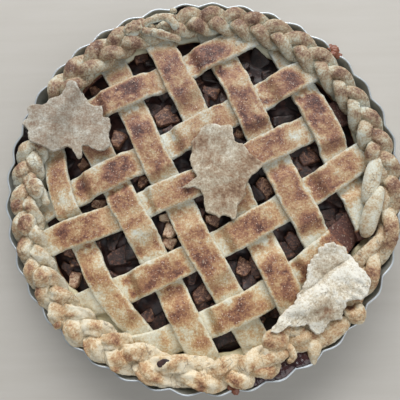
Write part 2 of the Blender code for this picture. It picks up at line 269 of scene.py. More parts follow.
def new_material(name):
    """A material, its nodes, its shader, and the place on the piece that its patterns follow."""
    made = bpy.data.materials.new(name)
    made.use_nodes = True
    tree = made.node_tree
    return made, tree, tree.nodes["Principled BSDF"], add(tree, "TexCoord", out="Object")


def crack_lines(tree, place):
    """Thin wandering cracks in patches: 1 on a crack and 0 beside it."""
    bend = add(tree, "TexNoise", out="Color", Vector=place, Scale=grains(5.0), Detail=4.0)
    reach = (7 * MM, 7 * MM, 7 * MM)
    bent = add(tree, "VectorMath", operation="MULTIPLY_ADD", in_0=bend, in_1=reach, in_2=place)
    edge = add(tree, "TexVoronoi", out="Distance", feature="DISTANCE_TO_EDGE", Vector=bent, Scale=grains(9.0))
    line = add(tree, "ValToRGB", Fac=edge, stops=[(0.0, 1.0), (0.045, 0.0)])
    patches = add(tree, "TexNoise", Vector=place, Scale=grains(16.0), Detail=2.0, Roughness=0.55)
    where = add(tree, "ValToRGB", Fac=patches, stops=[(0.5, 0.0), (0.58, 1.0)])
    return add(tree, "Math", operation="MULTIPLY", in_0=line, in_1=where)


def pastry(name, stops, patchiness, speck, speck_colour, roughness, grain, cracks, light_tints):
    """Baked shortcrust: its colour follows how far each part is baked, broken up by flour.

    patchiness, speck and cracks are how strongly each pattern shows, and grain is in millimetres. The
    light_tints are
    painted light: the first, cool one stands for the window's light on the top of the pie and the second,
    more golden one for the light on its bottom.
    """
    made, tree, shader, place = new_material(name)
    bake = add(tree, "Attribute", out="Fac", attribute_name="bake")
    coarse = add(tree, "TexNoise", Vector=place, Scale=grains(5.5), Detail=4.0, Roughness=0.65)
    fine = add(tree, "TexNoise", Vector=place, Scale=grains(1.35), Detail=3.0, Roughness=0.7)
    fineness = patchiness * 2.4
    mottle = add(tree, "Math", operation="MULTIPLY_ADD", in_0=coarse, in_1=patchiness, in_2=bake)
    mottle = add(tree, "Math", operation="MULTIPLY_ADD", in_0=fine, in_1=fineness, in_2=mottle)
    centred = add(tree, "Math", operation="SUBTRACT", in_0=mottle, in_1=(patchiness + fineness) / 2)
    tone = add(tree, "ValToRGB", Fac=centred, stops=stops)
    specks = add(tree, "TexNoise", Vector=place, Scale=grains(1.7), Detail=2.0, Roughness=0.55)
    specks = add(tree, "ValToRGB", Fac=specks, stops=[(0.60, 0.0), (0.70, speck)])
    tone = add(tree, "Mix", **COLOURS, in_0=specks, in_6=tone, in_7=speck_colour)
    if cracks:
        split = add(tree, "Math", operation="MULTIPLY", in_0=crack_lines(tree, place), in_1=cracks)
        # Painted shade: the cracks have no depth in the mesh, so the shade in them is painted as dark lines.
        tone = add(tree, "Mix", **COLOURS, in_0=split, in_6=tone, in_7="#5A4034")
    # Painted light: the colour is multiplied by a cool colour towards the top of the pie, for the window's
    # light, and by a more golden one towards its bottom.
    upwards = add(tree, "SeparateXYZ", out="Y", Vector=place)
    warmer = add(tree, "MapRange", Value=upwards, From_Min=50 * MM, From_Max=-120 * MM)
    light_tint = add(tree, "Mix", **COLOURS, in_0=warmer, in_6=light_tints[0], in_7=light_tints[1])
    tone = add(tree, "Mix", **COLOURS, blend_type="MULTIPLY", in_0=1.0, in_6=tone, in_7=light_tint)
    rough = add(tree, "TexNoise", Vector=place, Scale=grains(grain), Detail=4.0, Roughness=0.6)
    bump = add(tree, "Bump", Strength=0.8, Distance=0.5 * MM, Height=rough)
    feed(tree, shader, Base_Color=tone, Roughness=roughness, Specular_IOR_Level=0.35, Normal=bump)
    return made


# Shortcrust brushed with egg and sugared: pale where it dips, golden to purplish brown on the crests.
LATTICE_PASTRY = pastry(
    "sugared_shortcrust",
    [(0.0, "#DCDACE"), (0.18, "#D2C8B0"), (0.36, "#C6A780"), (0.56, "#AE825F"), (0.78, "#8A5C4A"),
     (1.0, "#563832")],
    0.44, 0.4, "#D8C8B6", 0.6, 0.9, 0.0, ("#F0F7FF", "#FFFBEE"))

# Unsweetened flaky shortcrust: matt, cream to golden, browner where it stands proud, with fine cracks painted
# in dark as their shade.
PLAIT_PASTRY = pastry(
    "flaky_shortcrust",
    [(0.0, "#E0DCCE"), (0.26, "#D2C4AA"), (0.5, "#BC9E7D"), (0.76, "#967059"), (1.0, "#6A483A")],
    0.58, 0.4, "#DCD3C0", 0.7, 1.1, 0.6, ("#EDF8FF", "#FFF5E6"))

# Floured shortcrust cut thin: chalky and greyish tan, with small brown specks of butter. The middle leaf had
# less flour, so it is more golden.
FLOURED_TONES = [(0.0, "#EAE4D6"), (0.2, "#D2C5AE"), (0.42, "#B6A48C"), (0.7, "#987A60"), (1.0, "#6E5040")]
OUTER_LEAF_PASTRY, MIDDLE_LEAF_PASTRY = (
    pastry(name, FLOURED_TONES, 0.46, 0.45, "#7A5B49", 0.85, 0.8, 0.0, light_tints)
    for name, light_tints in (("floured_shortcrust", ("#EAF2FF", "#FCFBF7")),
                        ("golden_floured_shortcrust", ("#F3F8FF", "#FDFAF0"))))

# The case under the lattice: pale shortcrust that the filling has kept from browning.
SHELL_PASTRY = pastry(
    "pale_shortcrust",
    [(0.0, "#DCD8C2"), (0.5, "#D2C49C"), (0.8, "#B08050"), (1.0, "#6A3A34")],
    0.25, 0.3, "#E4DCC4", 0.7, 1.2, 0.0, ("#F3F8FF", "#FFFBEE"))


def make_syrup(name, deep, warm, roughness, coat):
    """Apple juice and sugar boiled to a dark, sticky glaze, so it shines."""
    made, tree, shader, place = new_material(name)
    uneven = add(tree, "TexNoise", Vector=place, Scale=grains(6.0), Detail=5.0, Roughness=0.65)
    uneven = add(tree, "ValToRGB", Fac=uneven, stops=[(0.38, 0.0), (0.62, 1.0)])
    tone = add(tree, "Mix", **COLOURS, in_0=uneven, in_6=deep, in_7=warm)
    rough = add(tree, "TexNoise", Vector=place, Scale=grains(2.2), Detail=4.0, Roughness=0.6)
    bump = add(tree, "Bump", Strength=0.6, Distance=0.6 * MM, Height=rough)
    feed(tree, shader, Base_Color=tone, Roughness=roughness, Normal=bump)
    feed(tree, shader, Coat_Weight=coat, Coat_Roughness=0.15)
    return made


SYRUP = make_syrup("apple_syrup", "#181015", "#452A24", 0.5, 0.05)
SPILT_SYRUP = make_syrup("boiled_over_syrup", "#2E181C", "#4C2A28", 0.2, 0.5)


def make_apple():
    """Cooked apple flesh, stained by the syrup: pale to brown, wet and fibrous."""
    made, tree, shader, place = new_material("cooked_apple")
    bake = add(tree, "Attribute", out="Fac", attribute_name="bake")
    stain = add(tree, "TexNoise", Vector=place, Scale=grains(3.0), Detail=6.0, Roughness=0.7, Distortion=1.6)
    mixed = add(tree, "Math", operation="MULTIPLY_ADD", in_0=stain, in_1=2.3, in_2=bake)
    centred = add(tree, "Math", operation="SUBTRACT", in_0=mixed, in_1=1.15)
    tone = add(tree, "ValToRGB", Fac=centred, stops=[
        (0.0, "#C6AE92"), (0.25, "#A0765A"), (0.5, "#643F30"), (0.75, "#3C251E"), (1.0, "#1F1514")])
    bump = add(tree, "Bump", Strength=0.8, Distance=0.8 * MM, Height=stain)
    feed(tree, shader, Base_Color=tone, Roughness=0.52, Coat_Weight=0.1, Coat_Roughness=0.2, Normal=bump)
    return made


APPLE = make_apple()


def make_tin():
    """Tinned steel, much baked: grey and streaky, with burnt juice inside and a painted highlight along its
    rim.
    """
    made, tree, shader, place = new_material("tinned_steel_baked")
    stain = add(tree, "Attribute", out="Fac", attribute_name="bake")
    upright = add(tree, "Mapping", Vector=place, Scale=(1.0, 1.0, 0.25))
    dull = add(tree, "TexNoise", Vector=upright, Scale=grains(2.4), Detail=4.0, Roughness=0.6)
    tone = add(tree, "Mix", **COLOURS, in_0=dull, in_6="#8A8B85", in_7="#B9BAB4")
    soft = add(tree, "TexNoise", Vector=place, Scale=grains(3.0), Detail=3.0, Roughness=0.55)
    mark = add(tree, "Math", operation="MULTIPLY_ADD", in_0=soft, in_1=0.8, in_2=stain)
    mark = add(tree, "ValToRGB", Fac=mark, stops=[(0.75, 0.0), (0.95, 1.0)])
    tone = add(tree, "Mix", **COLOURS, in_0=mark, in_6=tone, in_7="#2A1C24")
    # Painted highlight: a pale grey band along the top of the rim bead stands for the window's light
    # reflected there.
    height = add(tree, "SeparateXYZ", out="Z", Vector=place)
    rim = add(tree, "MapRange", Value=height, From_Min=29.3 * MM, From_Max=29.8 * MM)
    tone = add(tree, "Mix", **COLOURS, in_0=rim, in_6=tone, in_7="#C2C8CC")
    gloss = add(tree, "MapRange", Value=dull, From_Min=0.3, From_Max=0.7, To_Min=0.3, To_Max=0.48)
    bump = add(tree, "Bump", Strength=0.2, Distance=0.1 * MM, Height=dull)
    feed(tree, shader, Base_Color=tone, Metallic=0.55, Roughness=gloss, Normal=bump)
    return made


TINNED_STEEL = make_tin()


def make_sugar():
    """Coarse sugar: clear, sharp-edged crystals that glint."""
    made, tree, shader, place = new_material("coarse_sugar")
    uneven = add(tree, "TexNoise", Vector=place, Scale=grains(3.0), Detail=3.0, Roughness=0.55)
    tone = add(tree, "Mix", **COLOURS, in_0=uneven, in_6="#C6A389", in_7="#E0CFBF")
    feed(tree, shader, Base_Color=tone, Roughness=0.28, IOR=1.54)
    return made


SUGAR = make_sugar()


def make_crumb():
    """Filling burnt on the rim: hard, orange-brown and glossy."""
    made, tree, shader, place = new_material("burnt_filling")
    uneven = add(tree, "TexNoise", Vector=place, Scale=grains(1.5), Detail=4.0, Roughness=0.55)
    tone = add(tree, "Mix", **COLOURS, in_0=uneven, in_6="#5A2C26", in_7="#A4684A")
    feed(tree, shader, Base_Color=tone, Roughness=0.4)
    return made


CRUMB = make_crumb()


# The tin

# Where juice has burnt on inside the wall: clock angle, spread and how dark.
BURNT_PLACES = [(283, 16, 0.8), (354, 4, 0.7), (157, 20, 0.8)]
# How far along the tin's section its inner face begins, and how many faces each flute has.
TIN_INNER_RUN, FLUTE_FACES = 0.63, 18


def flute(degrees):
    """How far the fluted wall is drawn in at a clock angle, from 0 on a ridge to 1 in a valley."""
    phase = np.radians(TIN_FLUTES * (degrees - TIN_FIRST_FLUTE) / 2)
    return 1 - 0.6 * np.abs(np.cos(phase)) - 0.4 * np.cos(phase) ** 2


def ridge_radius(z):
    """The outer radius of the wall's ridges at a height."""
    return TIN_BASE_R + (TIN_RIM_R - TIN_BASE_R) * z / TIN_HEIGHT


def flute_depth(z):
    """How deep the wall's flutes are at a height."""
    return TIN_DEPTH_BASE + (TIN_DEPTH_RIM - TIN_DEPTH_BASE) * z / TIN_HEIGHT


def tin_shape(turn, run):
    outer = [(0, 0), (60, 0), (110, 0), (126, 0), (129.2, 0.15), (130, 0.8), (139.3, 28.6)]
    bead = [(139.75, 28.9), (140, 29.4), (139.8, 29.85), (139.3, 30), (138.8, 29.8), (138.55, 29.3)]
    inner = [(138.4, 28.6), (129.1, 1.4), (128.2, 0.9), (124, 0.8), (110, 0.8), (60, 0.8), (0, 0.8)]
    outline = np.array(outer + bead + inner, dtype=float)
    steps = np.linspace(0, 1, len(outline))
    radius = np.interp(run, steps, outline[:, 0])
    z = np.interp(run, steps, outline[:, 1])
    degrees = 360 * turn
    radius = radius - flute_depth(z) * smooth((radius - 124) / 5) * flute(degrees)
    inside = smooth((run - TIN_INNER_RUN) / 0.02)
    burnt = sum(dark * smooth(1 - clock_gap(degrees, middle) / spread)
                for middle, spread, dark in BURNT_PLACES)
    x, y = at_clock(degrees, radius)
    return np.stack([x, y, z], axis=-1), inside * burnt


def make_tin_piece():
    obj = rolled("fluted_tin", TIN_FLUTES * FLUTE_FACES, 76, tin_shape)
    bpy.ops.object.shade_smooth_by_angle(angle=math.radians(50))
    finish(obj, TINNED_STEEL, "tinned_steel", "tin")


# The case and the filling

# Where the case shows further in under the plait, or draws back from it: clock angle, spread and move.
LEDGE_MOVES = [(28, 7, -3.0), (314, 10, 5.0), (92, 10, -6.0), (57, 22, 4.0), (104, 9, 4.0), (214, 12, -7.0),
               (243, 12, 3.0)]
# The case's lip: its inner radius, how wide it is, and the height below which juice has browned it.
LIP_R, LIP_WIDTH, LIP_STAIN_Z = 114.0, 9.0, 19.5
# How far the case stays inside the outer face of the tin's valleys.
CASE_INSET = 1.5

FILLING_R, FILLING_SIDE_R = 113.5, 120.0
FILLING_EDGE_Z, FILLING_SIDE_Z, FILLING_BASE_Z = 14.4, 13.0, 6.2
# How far along the filling's section its top ends, its side begins and ends, and its base ends.
FILLING_RUNS = [0.8, 0.85, 0.93, 1.0]
SYRUP_DEPTH = 9.0


def shell_radius(z):
    """The case's outer radius at a height, just inside the flutes' valleys."""
    return ridge_radius(z) - flute_depth(z) - CASE_INSET


def shell_shape(turn, run):
    outline = np.array([
        (0, 5), (60, 5), (118, 5), (123, 6), (124, 10), (120, 15), (115.5, 16), (114.2, 17.5), (114.4, 19.2),
        (116, 20.6), (119, 21.2), (123, 21.4), (shell_radius(21) - 0.6, 21.4), (shell_radius(20), 20),
        (shell_radius(10), 10), (shell_radius(1.2), 1.2), (120, 1.2), (60, 1.2), (0, 1.2)], dtype=float)
    steps = np.linspace(0, 1, len(outline))
    radius, z = np.interp(run, steps, outline[:, 0]), np.interp(run, steps, outline[:, 1])
    degrees = 360 * turn
    x, y = at_clock(degrees, radius)
    top = smooth((z - 14) / 4)
    lip = smooth(1 - (radius - LIP_R) / LIP_WIDTH) * top
    for middle, spread, move in LEDGE_MOVES:
        radius = radius + move * smooth(1.6 * (1 - clock_gap(degrees, middle) / spread)) * lip
    radius = radius + 1.3 * cloud(*at_clock(degrees, 9.0), 0.0, 1.0, 5.2) * lip
    z = z + 0.7 * cloud(x, y, 0.0, 9.0, 3.1) * top
    x, y = at_clock(degrees, radius)
    bake = 0.2 + 0.2 * cloud(x, y, z, 12.0, 7.7) + 0.8 * smooth((LIP_STAIN_Z - z) / 2.5)
    return np.stack([x, y, z], axis=-1), np.clip(bake, 0, 1)


def lattice_height(x, y):
    share = np.minimum(np.hypot(x, y) / LATTICE_END_R, 1.0)
    return LATTICE_EDGE_Z + (LATTICE_CROWN_Z - LATTICE_EDGE_Z) * (1 - share ** 4)


def syrup_height(x, y):
    return lattice_height(x, y) - SYRUP_DEPTH


def filling_shape(turn, run):
    top = run < FILLING_RUNS[0]
    side_radius = np.interp(run, FILLING_RUNS, [FILLING_R, FILLING_SIDE_R, FILLING_SIDE_R, 0])
    side_z = np.interp(run, FILLING_RUNS, [FILLING_EDGE_Z, FILLING_SIDE_Z, FILLING_BASE_Z, FILLING_BASE_Z])
    radius = np.where(top, FILLING_R * run / FILLING_RUNS[0], side_radius)
    x, y = at_clock(360 * turn, radius)
    rise = 1.6 * cloud(x, y, 0.0, 9.0, 1.3) + 0.5 * cloud(x, y, 0.0, 3.5, 4.3)
    z = syrup_height(x, y) + rise * smooth((112 - radius) / 6)
    return np.stack([x, y, np.where(top, z, side_z)], axis=-1), 0.0


def make_case_and_filling():
    shell = rolled("pastry_case", 360, 72, shell_shape)
    roughen(shell, (3.0, 0.6))
    finish(shell, SHELL_PASTRY, "shell_pastry", "pastry_shell")
    core = rolled("syrup_core", 300, 120, filling_shape)
    finish(core, SYRUP, "apple_filling", "filling")


# The lattice

# Half the width of a strip that covers another, and how far past it the other's paleness fades out.
COVER_HALF, COVER_FADE = 10.5, 6.5
# The radius where the strips settle on the case's lip, and the one where they turn paler under the plait.
SETTLE_R, PALE_R = 111.0, 104.0


class Strip:
    """One lattice strip: its line across the pie, and whether it passes over or under each strip it meets."""

    def __init__(self, name, heading, start, middle, end, width):
        turn = math.radians(heading)
        self.name = name
        self.along = np.array([math.cos(turn), math.sin(turn)])
        self.across = np.array([-math.sin(turn), math.cos(turn)])
        self.middle, self.slope, self.bow = middle, (end - start) / 2, (end + start) / 2 - middle
        self.width = width
        self.meets = []

    def place(self, s, v=0.0):
        """The point that far along the strip and that far across it."""
        share = np.asarray(s, dtype=float) / FAMILY_REACH
        offset = self.middle + self.slope * share + self.bow * share * share
        lean = (self.slope + 2 * self.bow * share) / FAMILY_REACH
        side = self.across - lean[..., None] * self.along
        side /= np.linalg.norm(side, axis=-1, keepdims=True)
        spot = share[..., None] * FAMILY_REACH * self.along + offset[..., None] * self.across
        spot = spot + side * np.asarray(v)[..., None]
        return spot[..., 0], spot[..., 1]

    def end(self, way):
        """How far along the strip its end is, which the plait hides."""
        reach = np.linspace(0, 1.4 * STRIP_END_R, 800)
        inside = np.hypot(*self.place(way * reach)) < STRIP_END_R
        return way * reach[inside].max()

    def lift(self, s):
        """Rise above the lattice's mean height: up over some strips and down under others."""
        places = [meet[0] for meet in self.meets]
        signs = [meet[1] for meet in self.meets]
        rise = np.full(np.shape(s), float(signs[0]))
        for from_s, to_s, from_sign, to_sign in zip(places, places[1:], signs, signs[1:]):
            flat = min(WEAVE_FLAT, WEAVE_FLAT_SHARE * (to_s - from_s))
            share = smooth((s - from_s - flat) / (to_s - from_s - 2 * flat))
            rise = np.where(s > from_s, from_sign + (to_sign - from_sign) * share, rise)
        return rise

    def tucked(self, s):
        """1 where another strip covers this one, fading just past its edges."""
        covered = np.zeros(np.shape(s))
        for place, sign in self.meets:
            if sign < 0:
                covered = np.maximum(covered, 1 - smooth((np.abs(s - place) - COVER_HALF) / COVER_FADE))
        return covered


def crossing(strip, other):
    """How far along each of two strips they cross."""
    s = t = 0.0
    for _ in range(20):
        t = float(np.dot(strip.place(s), other.along))
        s = float(np.dot(other.place(t), strip.along))
    return s, t


def make_strips():
    family_a = [Strip(f"a_{k}", FAMILY_A_HEADING, *row) for k, row in enumerate(FAMILY_A, 1)]
    family_s = [Strip(f"s_{k}", FAMILY_S_HEADING, *row) for k, row in enumerate(FAMILY_S, 1)]
    for i, strip in enumerate(family_a, 1):
        for j, other in enumerate(family_s, 1):
            s, t = crossing(strip, other)
            if np.hypot(*strip.place(s)) > LATTICE_END_R + 0.6 * strip.width:
                continue
            sign = 1 if (i + j) % 2 else -1
            strip.meets.append((s, sign))
            other.meets.append((t, -sign))
    for strip in family_a + family_s:
        strip.meets.sort()
    return family_a + family_s


def band_edge(turn, width, thick):
    """A flat band's section with rounded corners: how far across and how far up each point round it is."""
    half, deep, corner = width / 2, thick / 2, STRIP_CORNER
    angle = np.radians(np.linspace(0, 90, 7))
    v, rise = [], []
    for k, (side, up) in enumerate([(1, 1), (1, -1), (-1, -1), (-1, 1)]):
        across, along = (np.sin(angle), np.cos(angle)) if k % 2 == 0 else (np.cos(angle), np.sin(angle))
        v.append(side * (half - corner + corner * across))
        rise.append(up * (deep - corner + corner * along))
    v, rise = np.concatenate(v + [v[0][:1]]), np.concatenate(rise + [rise[0][:1]])
    run = np.concatenate([[0], np.cumsum(np.hypot(np.diff(v), np.diff(rise)))])
    return np.interp(turn * run[-1], run, v), np.interp(turn * run[-1], run, rise)


# Strips whose far end has soaked up dark juice, and how far along that begins.
SOAKED_ENDS = {"s_3": 101.0, "s_5": 66.0, "a_6": 74.0}
NOT_SOAKED = 200.0

# Places where the oven caught the lattice: x, y, radius and how much darker.
BROWN_SPOTS = [
    (-26, 91, 13, 0.3), (-16, 76, 13, 0.35), (-56, 74, 15, 0.35), (-44, 43, 12, 0.3), (-34, 23, 12, 0.3),
    (-63, 9, 18, 0.45), (6, 94, 17, 0.5), (58, 71, 17, 0.45), (38, 51, 14, 0.6), (79, 56, 17, 0.45),
    (85, 37, 13, 0.3), (48, 30, 12, 0.15), (101, 20, 12, 0.2), (-75, -28, 18, 0.4), (-22, -60, 17, 0.4),
    (-49, -69, 8, 0.35), (-20, -89, 13, 0.25), (-41, -44, 12, 0.3), (-48, -25, 9, 0.3), (-51, -89, 9, 0.25),
    (38, -26, 19, 0.45), (8, -46, 14, 0.35), (54, -57, 15, 0.65), (27, -78, 16, 0.4), (-3, -31, 13, 0.35),
    (-100, 14, 10, 0.5), (-98, -36, 11, 0.4), (-66, 66, 11, 0.5), (90, 5, 10, 0.25), (28, 64, 10, 0.25),
]

# Places where it stayed pale: x, y and radius.
PALE_SPOTS = [
    (-33, -102, 14), (-20, -97, 9), (35, -99, 16), (78, -36, 10), (109, -18, 16), (54, -41, 11), (68, 37, 13),
    (-43, -33, 11), (-34, -49, 10), (-21, 36, 11), (-98, -8, 11), (-69, -50, 10), (19, -77, 9), (4, -19, 10),
    (-74, 17, 12), (71, -43, 12), (-76, -77, 15), (16, -40, 12), (5, -91, 10), (41, -70, 10),
    (-55, -97, 11),
]


def strip_bake(strip, s, v, x, y, seed):
    """How far a strip is baked: most on its crests and along its middle, in ragged patches."""
    patch = cloud(x, y, 0.0, 13.0, 2.2 + seed)
    ragged = cloud(x, y, 0.0, 5.5, 6.1) + 0.7 * cloud(x, y, 0.0, 2.2, 3.9)
    over = 1 - 0.9 * strip.tucked(s + 2.2 * ragged + 2.5 * patch)
    inward = 1 - smooth((2 * np.abs(v) / strip.width + 0.11 * ragged + 0.1 * patch - 0.68) / 0.36)
    streak = cloud(s / 2.6, v, 0.0, 3.2, seed + 9.0)
    bake = 0.10 + (0.38 + 0.17 * patch + 0.08 * streak) * over * inward + 0.06 * inward + 0.11 * patch
    bake = bake + 0.06 * ragged + 0.07 * y / 110
    for *place, reach, more in BROWN_SPOTS:
        spot = near(x, y, place, 1.55 * reach) * (1 + 0.4 * ragged)
        bake = bake + 0.51 * more * spot * over * (0.3 + 0.7 * inward)
    for *place, reach in PALE_SPOTS:
        bake = bake * (1 - 0.65 * near(x, y, place, reach) * (1 + 0.5 * ragged))
    return bake


def strip_shape(strip):
    first, last = strip.end(-1), strip.end(1)
    phase = sum(map(ord, strip.name))

    def shape(turn, run):
        s = first + (last - first) * run
        v, rise = band_edge(turn, strip.width, STRIP_THICKNESS)
        half = strip.width / 2
        wobble = 1 + 0.035 * cloud(s, 0.0 * s, phase, 14.0) + 0.02 * cloud(s, 0.0 * s, phase, 5.0, 9.0)
        drift = 0.7 * cloud(s, 0.0 * s, phase + 50.0, 22.0)
        x, y = strip.place(s, v * wobble + drift)
        radius = np.hypot(x, y)
        lift = strip.lift(s)
        puff = 0.5 * (1 - (v / half) ** 2) * (rise > 0)
        slack = 0.35 * cloud(x, y, 0.0, 11.0, phase)
        settled = 1.2 * smooth((radius - SETTLE_R) / 8)
        soaked = smooth((s - SOAKED_ENDS.get(strip.name, NOT_SOAKED)) / 3)
        z = lattice_height(x, y) + WEAVE_LIFT * lift + rise + puff + slack - settled - 2.5 * soaked
        bake = strip_bake(strip, s, v, x, y, phase) * (1 - 0.6 * smooth((radius - PALE_R) / 9))
        bake = bake * (rise > -1.0)
        bake = bake + (1.1 - bake) * soaked
        return np.stack([x, y, z], axis=-1), np.clip(bake, 0, 1)

    return shape, last - first


def make_lattice():
    made = []
    for strip in make_strips():
        shape, length = strip_shape(strip)
        obj = rolled(f"lattice_strip_{strip.name}", 60, round(length / 0.85), shape)
        roughen(obj, (4.0, 0.7), (1.3, 0.45))
        made.append(finish(obj, LATTICE_PASTRY, "lattice_pastry", f"strip_{strip.name}"))
    return made


# The plait

def plait_phase(plait, degrees):
    """How far the plait has turned at a clock angle, a third of a turn for each lobe."""
    lobe = np.interp(degrees, plait["lobes"], np.arange(len(plait["lobes"])))
    return np.radians(60 + plait["lean"] * 120 * (lobe - plait["first"]))


# Where the plait sinks under loose dough: clock angle, spread and drop.
PLAIT_DIPS = [(346.5, 6.5, 6.5), (139.0, 17.0, 5.5)]
# The clock angle of the pale strand that lies beside the plait, and how far its push is felt.
PALE_STRAND_AT, PALE_STRAND_SPREAD = 97.0, 20.0
PLAIT_HALF, STRAND_HALF_HEIGHT = 10.6, 3.4


def plait_drop(degrees):
    drop = 0.0
    for middle, spread, depth in PLAIT_DIPS:
        drop = drop + depth * smooth(1.5 * (1 - clock_gap(degrees, middle) / spread))
    return drop


def beside_pale_strand(degrees):
    return smooth(1.4 * (1 - np.abs(degrees - PALE_STRAND_AT) / PALE_STRAND_SPREAD))


def plait_half(degrees):
    """Half the plait's width, wider at the lower left of the pie."""
    wide = 1.5 * smooth(1 - np.abs(degrees - 210) / 45)
    narrow = 1.2 * smooth(1 - np.abs(degrees - 57) / 20) + 3.0 * beside_pale_strand(degrees)
    return PLAIT_HALF + wide - narrow


def strand_line(plait, strand, degrees):
    """The middle of one strand of the plait at a clock angle."""
    phase = plait_phase(plait, degrees) + strand * math.tau / 3
    sway = 0.59 * plait_half(degrees)
    middle = PLAIT_R + 0.8 * np.sin(np.radians(5 * degrees)) + 3.4 * beside_pale_strand(degrees)
    middle = middle - 0.5 * plait_drop(degrees) - 3.5 * smooth(1.3 * (1 - np.abs(degrees - 152) / 13))
    x, y = at_clock(degrees, middle + sway * np.sin(phase))
    sunk = plait_drop(degrees) + 6.5 * beside_pale_strand(degrees) * np.clip(-np.sin(phase), 0, 1)
    return np.stack([x, y, PLAIT_Z + PLAIT_LIFT * np.sin(2 * phase) - sunk], axis=-1)


# Where the plait is browner or paler than elsewhere: clock angle, spread and how much.
PLAIT_TONES = [(105.0, 60.0, 0.14), (325.0, 45.0, 0.14), (190.0, 55.0, -0.08)]


def strand_bake(point, degrees, rough):
    """How far a strand is baked: most on its crests and towards the tin, and more at the top of the pie,
    which is partly painted shade.
    """
    x, y, z = point.T
    patch = cloud(x, y, z, 8.0, 4.4)
    fine = cloud(x, y, z, 2.6, 1.4)
    crest = smooth((z - 30.0) / 5.5)
    outward = smooth((np.hypot(x, y) - 121) / 12)
    # Partly painted shade: the plait is made darker towards the top of the pie, where its inner sides face
    # away from the window; partly it is browner there.
    north = 0.5 + 0.5 * np.cos(np.radians(degrees - 10))
    blotch = (0.16 + 0.14 * rough) * patch
    bake = 0.15 + 0.22 * north ** 1.5 + (0.18 + 0.12 * outward + blotch) * crest
    bake = bake + 0.16 * patch + 0.08 * fine
    for place, spread, more in PLAIT_TONES:
        bake = bake + more * smooth(1 - clock_gap(degrees, place) / spread)
    return np.clip(bake, 0, 1)


def strand_shape(plait, strand, rough):
    """One strand. rough is 0 for neat dough and 1 for flaky dough."""
    def shape(turn, run):
        degrees = plait["start"] + (plait["end"] - plait["start"]) * run
        spot = strand_line(plait, strand, degrees)
        ahead = strand_line(plait, strand, degrees + 0.4) - strand_line(plait, strand, degrees - 0.4)
        side, up = across_and_up(ahead)
        taper = np.minimum(degrees - plait["start"], plait["end"] - degrees) / 4.0
        taper = np.sqrt(np.clip(1 - (1 - np.clip(taper, 0, 1)) ** 2, 0, 1))
        angle = math.tau * turn
        swell = 1 + (0.08 + 0.08 * rough) * cloud(degrees / 5.5, strand, 0.0, 1.0, 3.3)
        outside = np.clip(np.hypot(*spot.T[:2]) - PLAIT_R - 2, 0, 3) / 3
        plump = 1 + 0.45 * beside_pale_strand(degrees) * outside
        out = 0.46 * plait_half(degrees) * plump * np.sign(np.cos(angle)) * np.abs(np.cos(angle)) ** 0.85
        rise = STRAND_HALF_HEIGHT * np.sign(np.sin(angle)) * np.abs(np.sin(angle)) ** 0.8
        wander = cloud(degrees / 7, strand, 0.0, 1.0, 8.8)
        ridges = 1 + 0.1 * rough * smooth(1.5 - np.abs(degrees - 205) / 35) * np.sin(5 * angle + 4 * wander)
        swell = swell * ridges
        point = spot + side * (out * taper * swell)[:, None] + up * (rise * taper * swell)[:, None]
        return point, strand_bake(point, degrees, rough)

    return shape


def keep_in_tin(obj):
    """Moves dough that roughening has pushed into the tin's wall back against its fluted inner face."""
    points = vertices(obj) / MM
    x, y, z = points.T
    wall = ridge_radius(z) - flute_depth(z) * flute(clock(x, y)) - TIN_WALL
    limit = wall - 1.0 + 8 * smooth((z - 28.6) / 2.4)
    points[:, :2] *= np.minimum(1, limit / np.maximum(np.hypot(x, y), 1.0))[:, None]
    obj.data.vertices.foreach_set("co", (points * MM).ravel())
    obj.data.update()


def make_plait(name, plait, rough, layers):
    length = math.radians(plait["end"] - plait["start"]) * PLAIT_R * 1.15
    made = []
    for strand in range(3):
        shape = strand_shape(plait, strand, rough)
        obj = rolled(f"dough_{name}_strand_{strand + 1}", 36, round(length / 0.9), shape)
        roughen(obj, *layers)
        keep_in_tin(obj)
        made.append(finish(obj, PLAIT_PASTRY, "plait_pastry", f"{name}_strand_{strand + 1}"))
    return made


def lump_shape(place, half, heading, seed, brown, dent=None):
    """A rounded lump. A dent, if it has one, is a place, a radius and a depth, and is coloured dark inside as
    painted shade.
    """
    def shape(turn, latitude):
        angle, rise = math.tau * turn, latitude * math.pi / 2
        flat = np.cos(rise)
        u, v, w = half[0] * flat * np.cos(angle), half[1] * flat * np.sin(angle), half[2] * np.sin(rise)
        turned = math.radians(heading)
        x = place[0] + u * math.sin(turned) - v * math.cos(turned)
        y = place[1] + u * math.cos(turned) + v * math.sin(turned)
        z = place[2] + w
        bake = 0.1 + brown * smooth(w / half[2]) + 0.2 * cloud(x, y, z, 5.0, seed)
        if dent:
            inside = near(x, y, dent[:2], dent[2]) * (w > 0)
            z = z - dent[3] * inside
            # Painted shade: the dent's hollow is coloured dark for the shadow that falls in it.
            bake = bake + 0.8 * smooth(1.5 * inside - 0.2)
        return np.stack([x, y, z], axis=-1), np.clip(bake, 0, 1)

    return shape


def soft_interp(at, steps, values):
    """Straight runs between the values, with the corners rounded off."""
    width = 0.3 * steps[1]
    shifts = [np.interp(np.clip(at + shift, 0, 1), steps, values) for shift in (-width, 0.0, width)]
    return (shifts[0] + shifts[1] + shifts[2]) / 3


# How far the ends of a roll of dough sink as they taper.
ROLL_END_DROP = np.array([0.0, 0.0, 1.5])


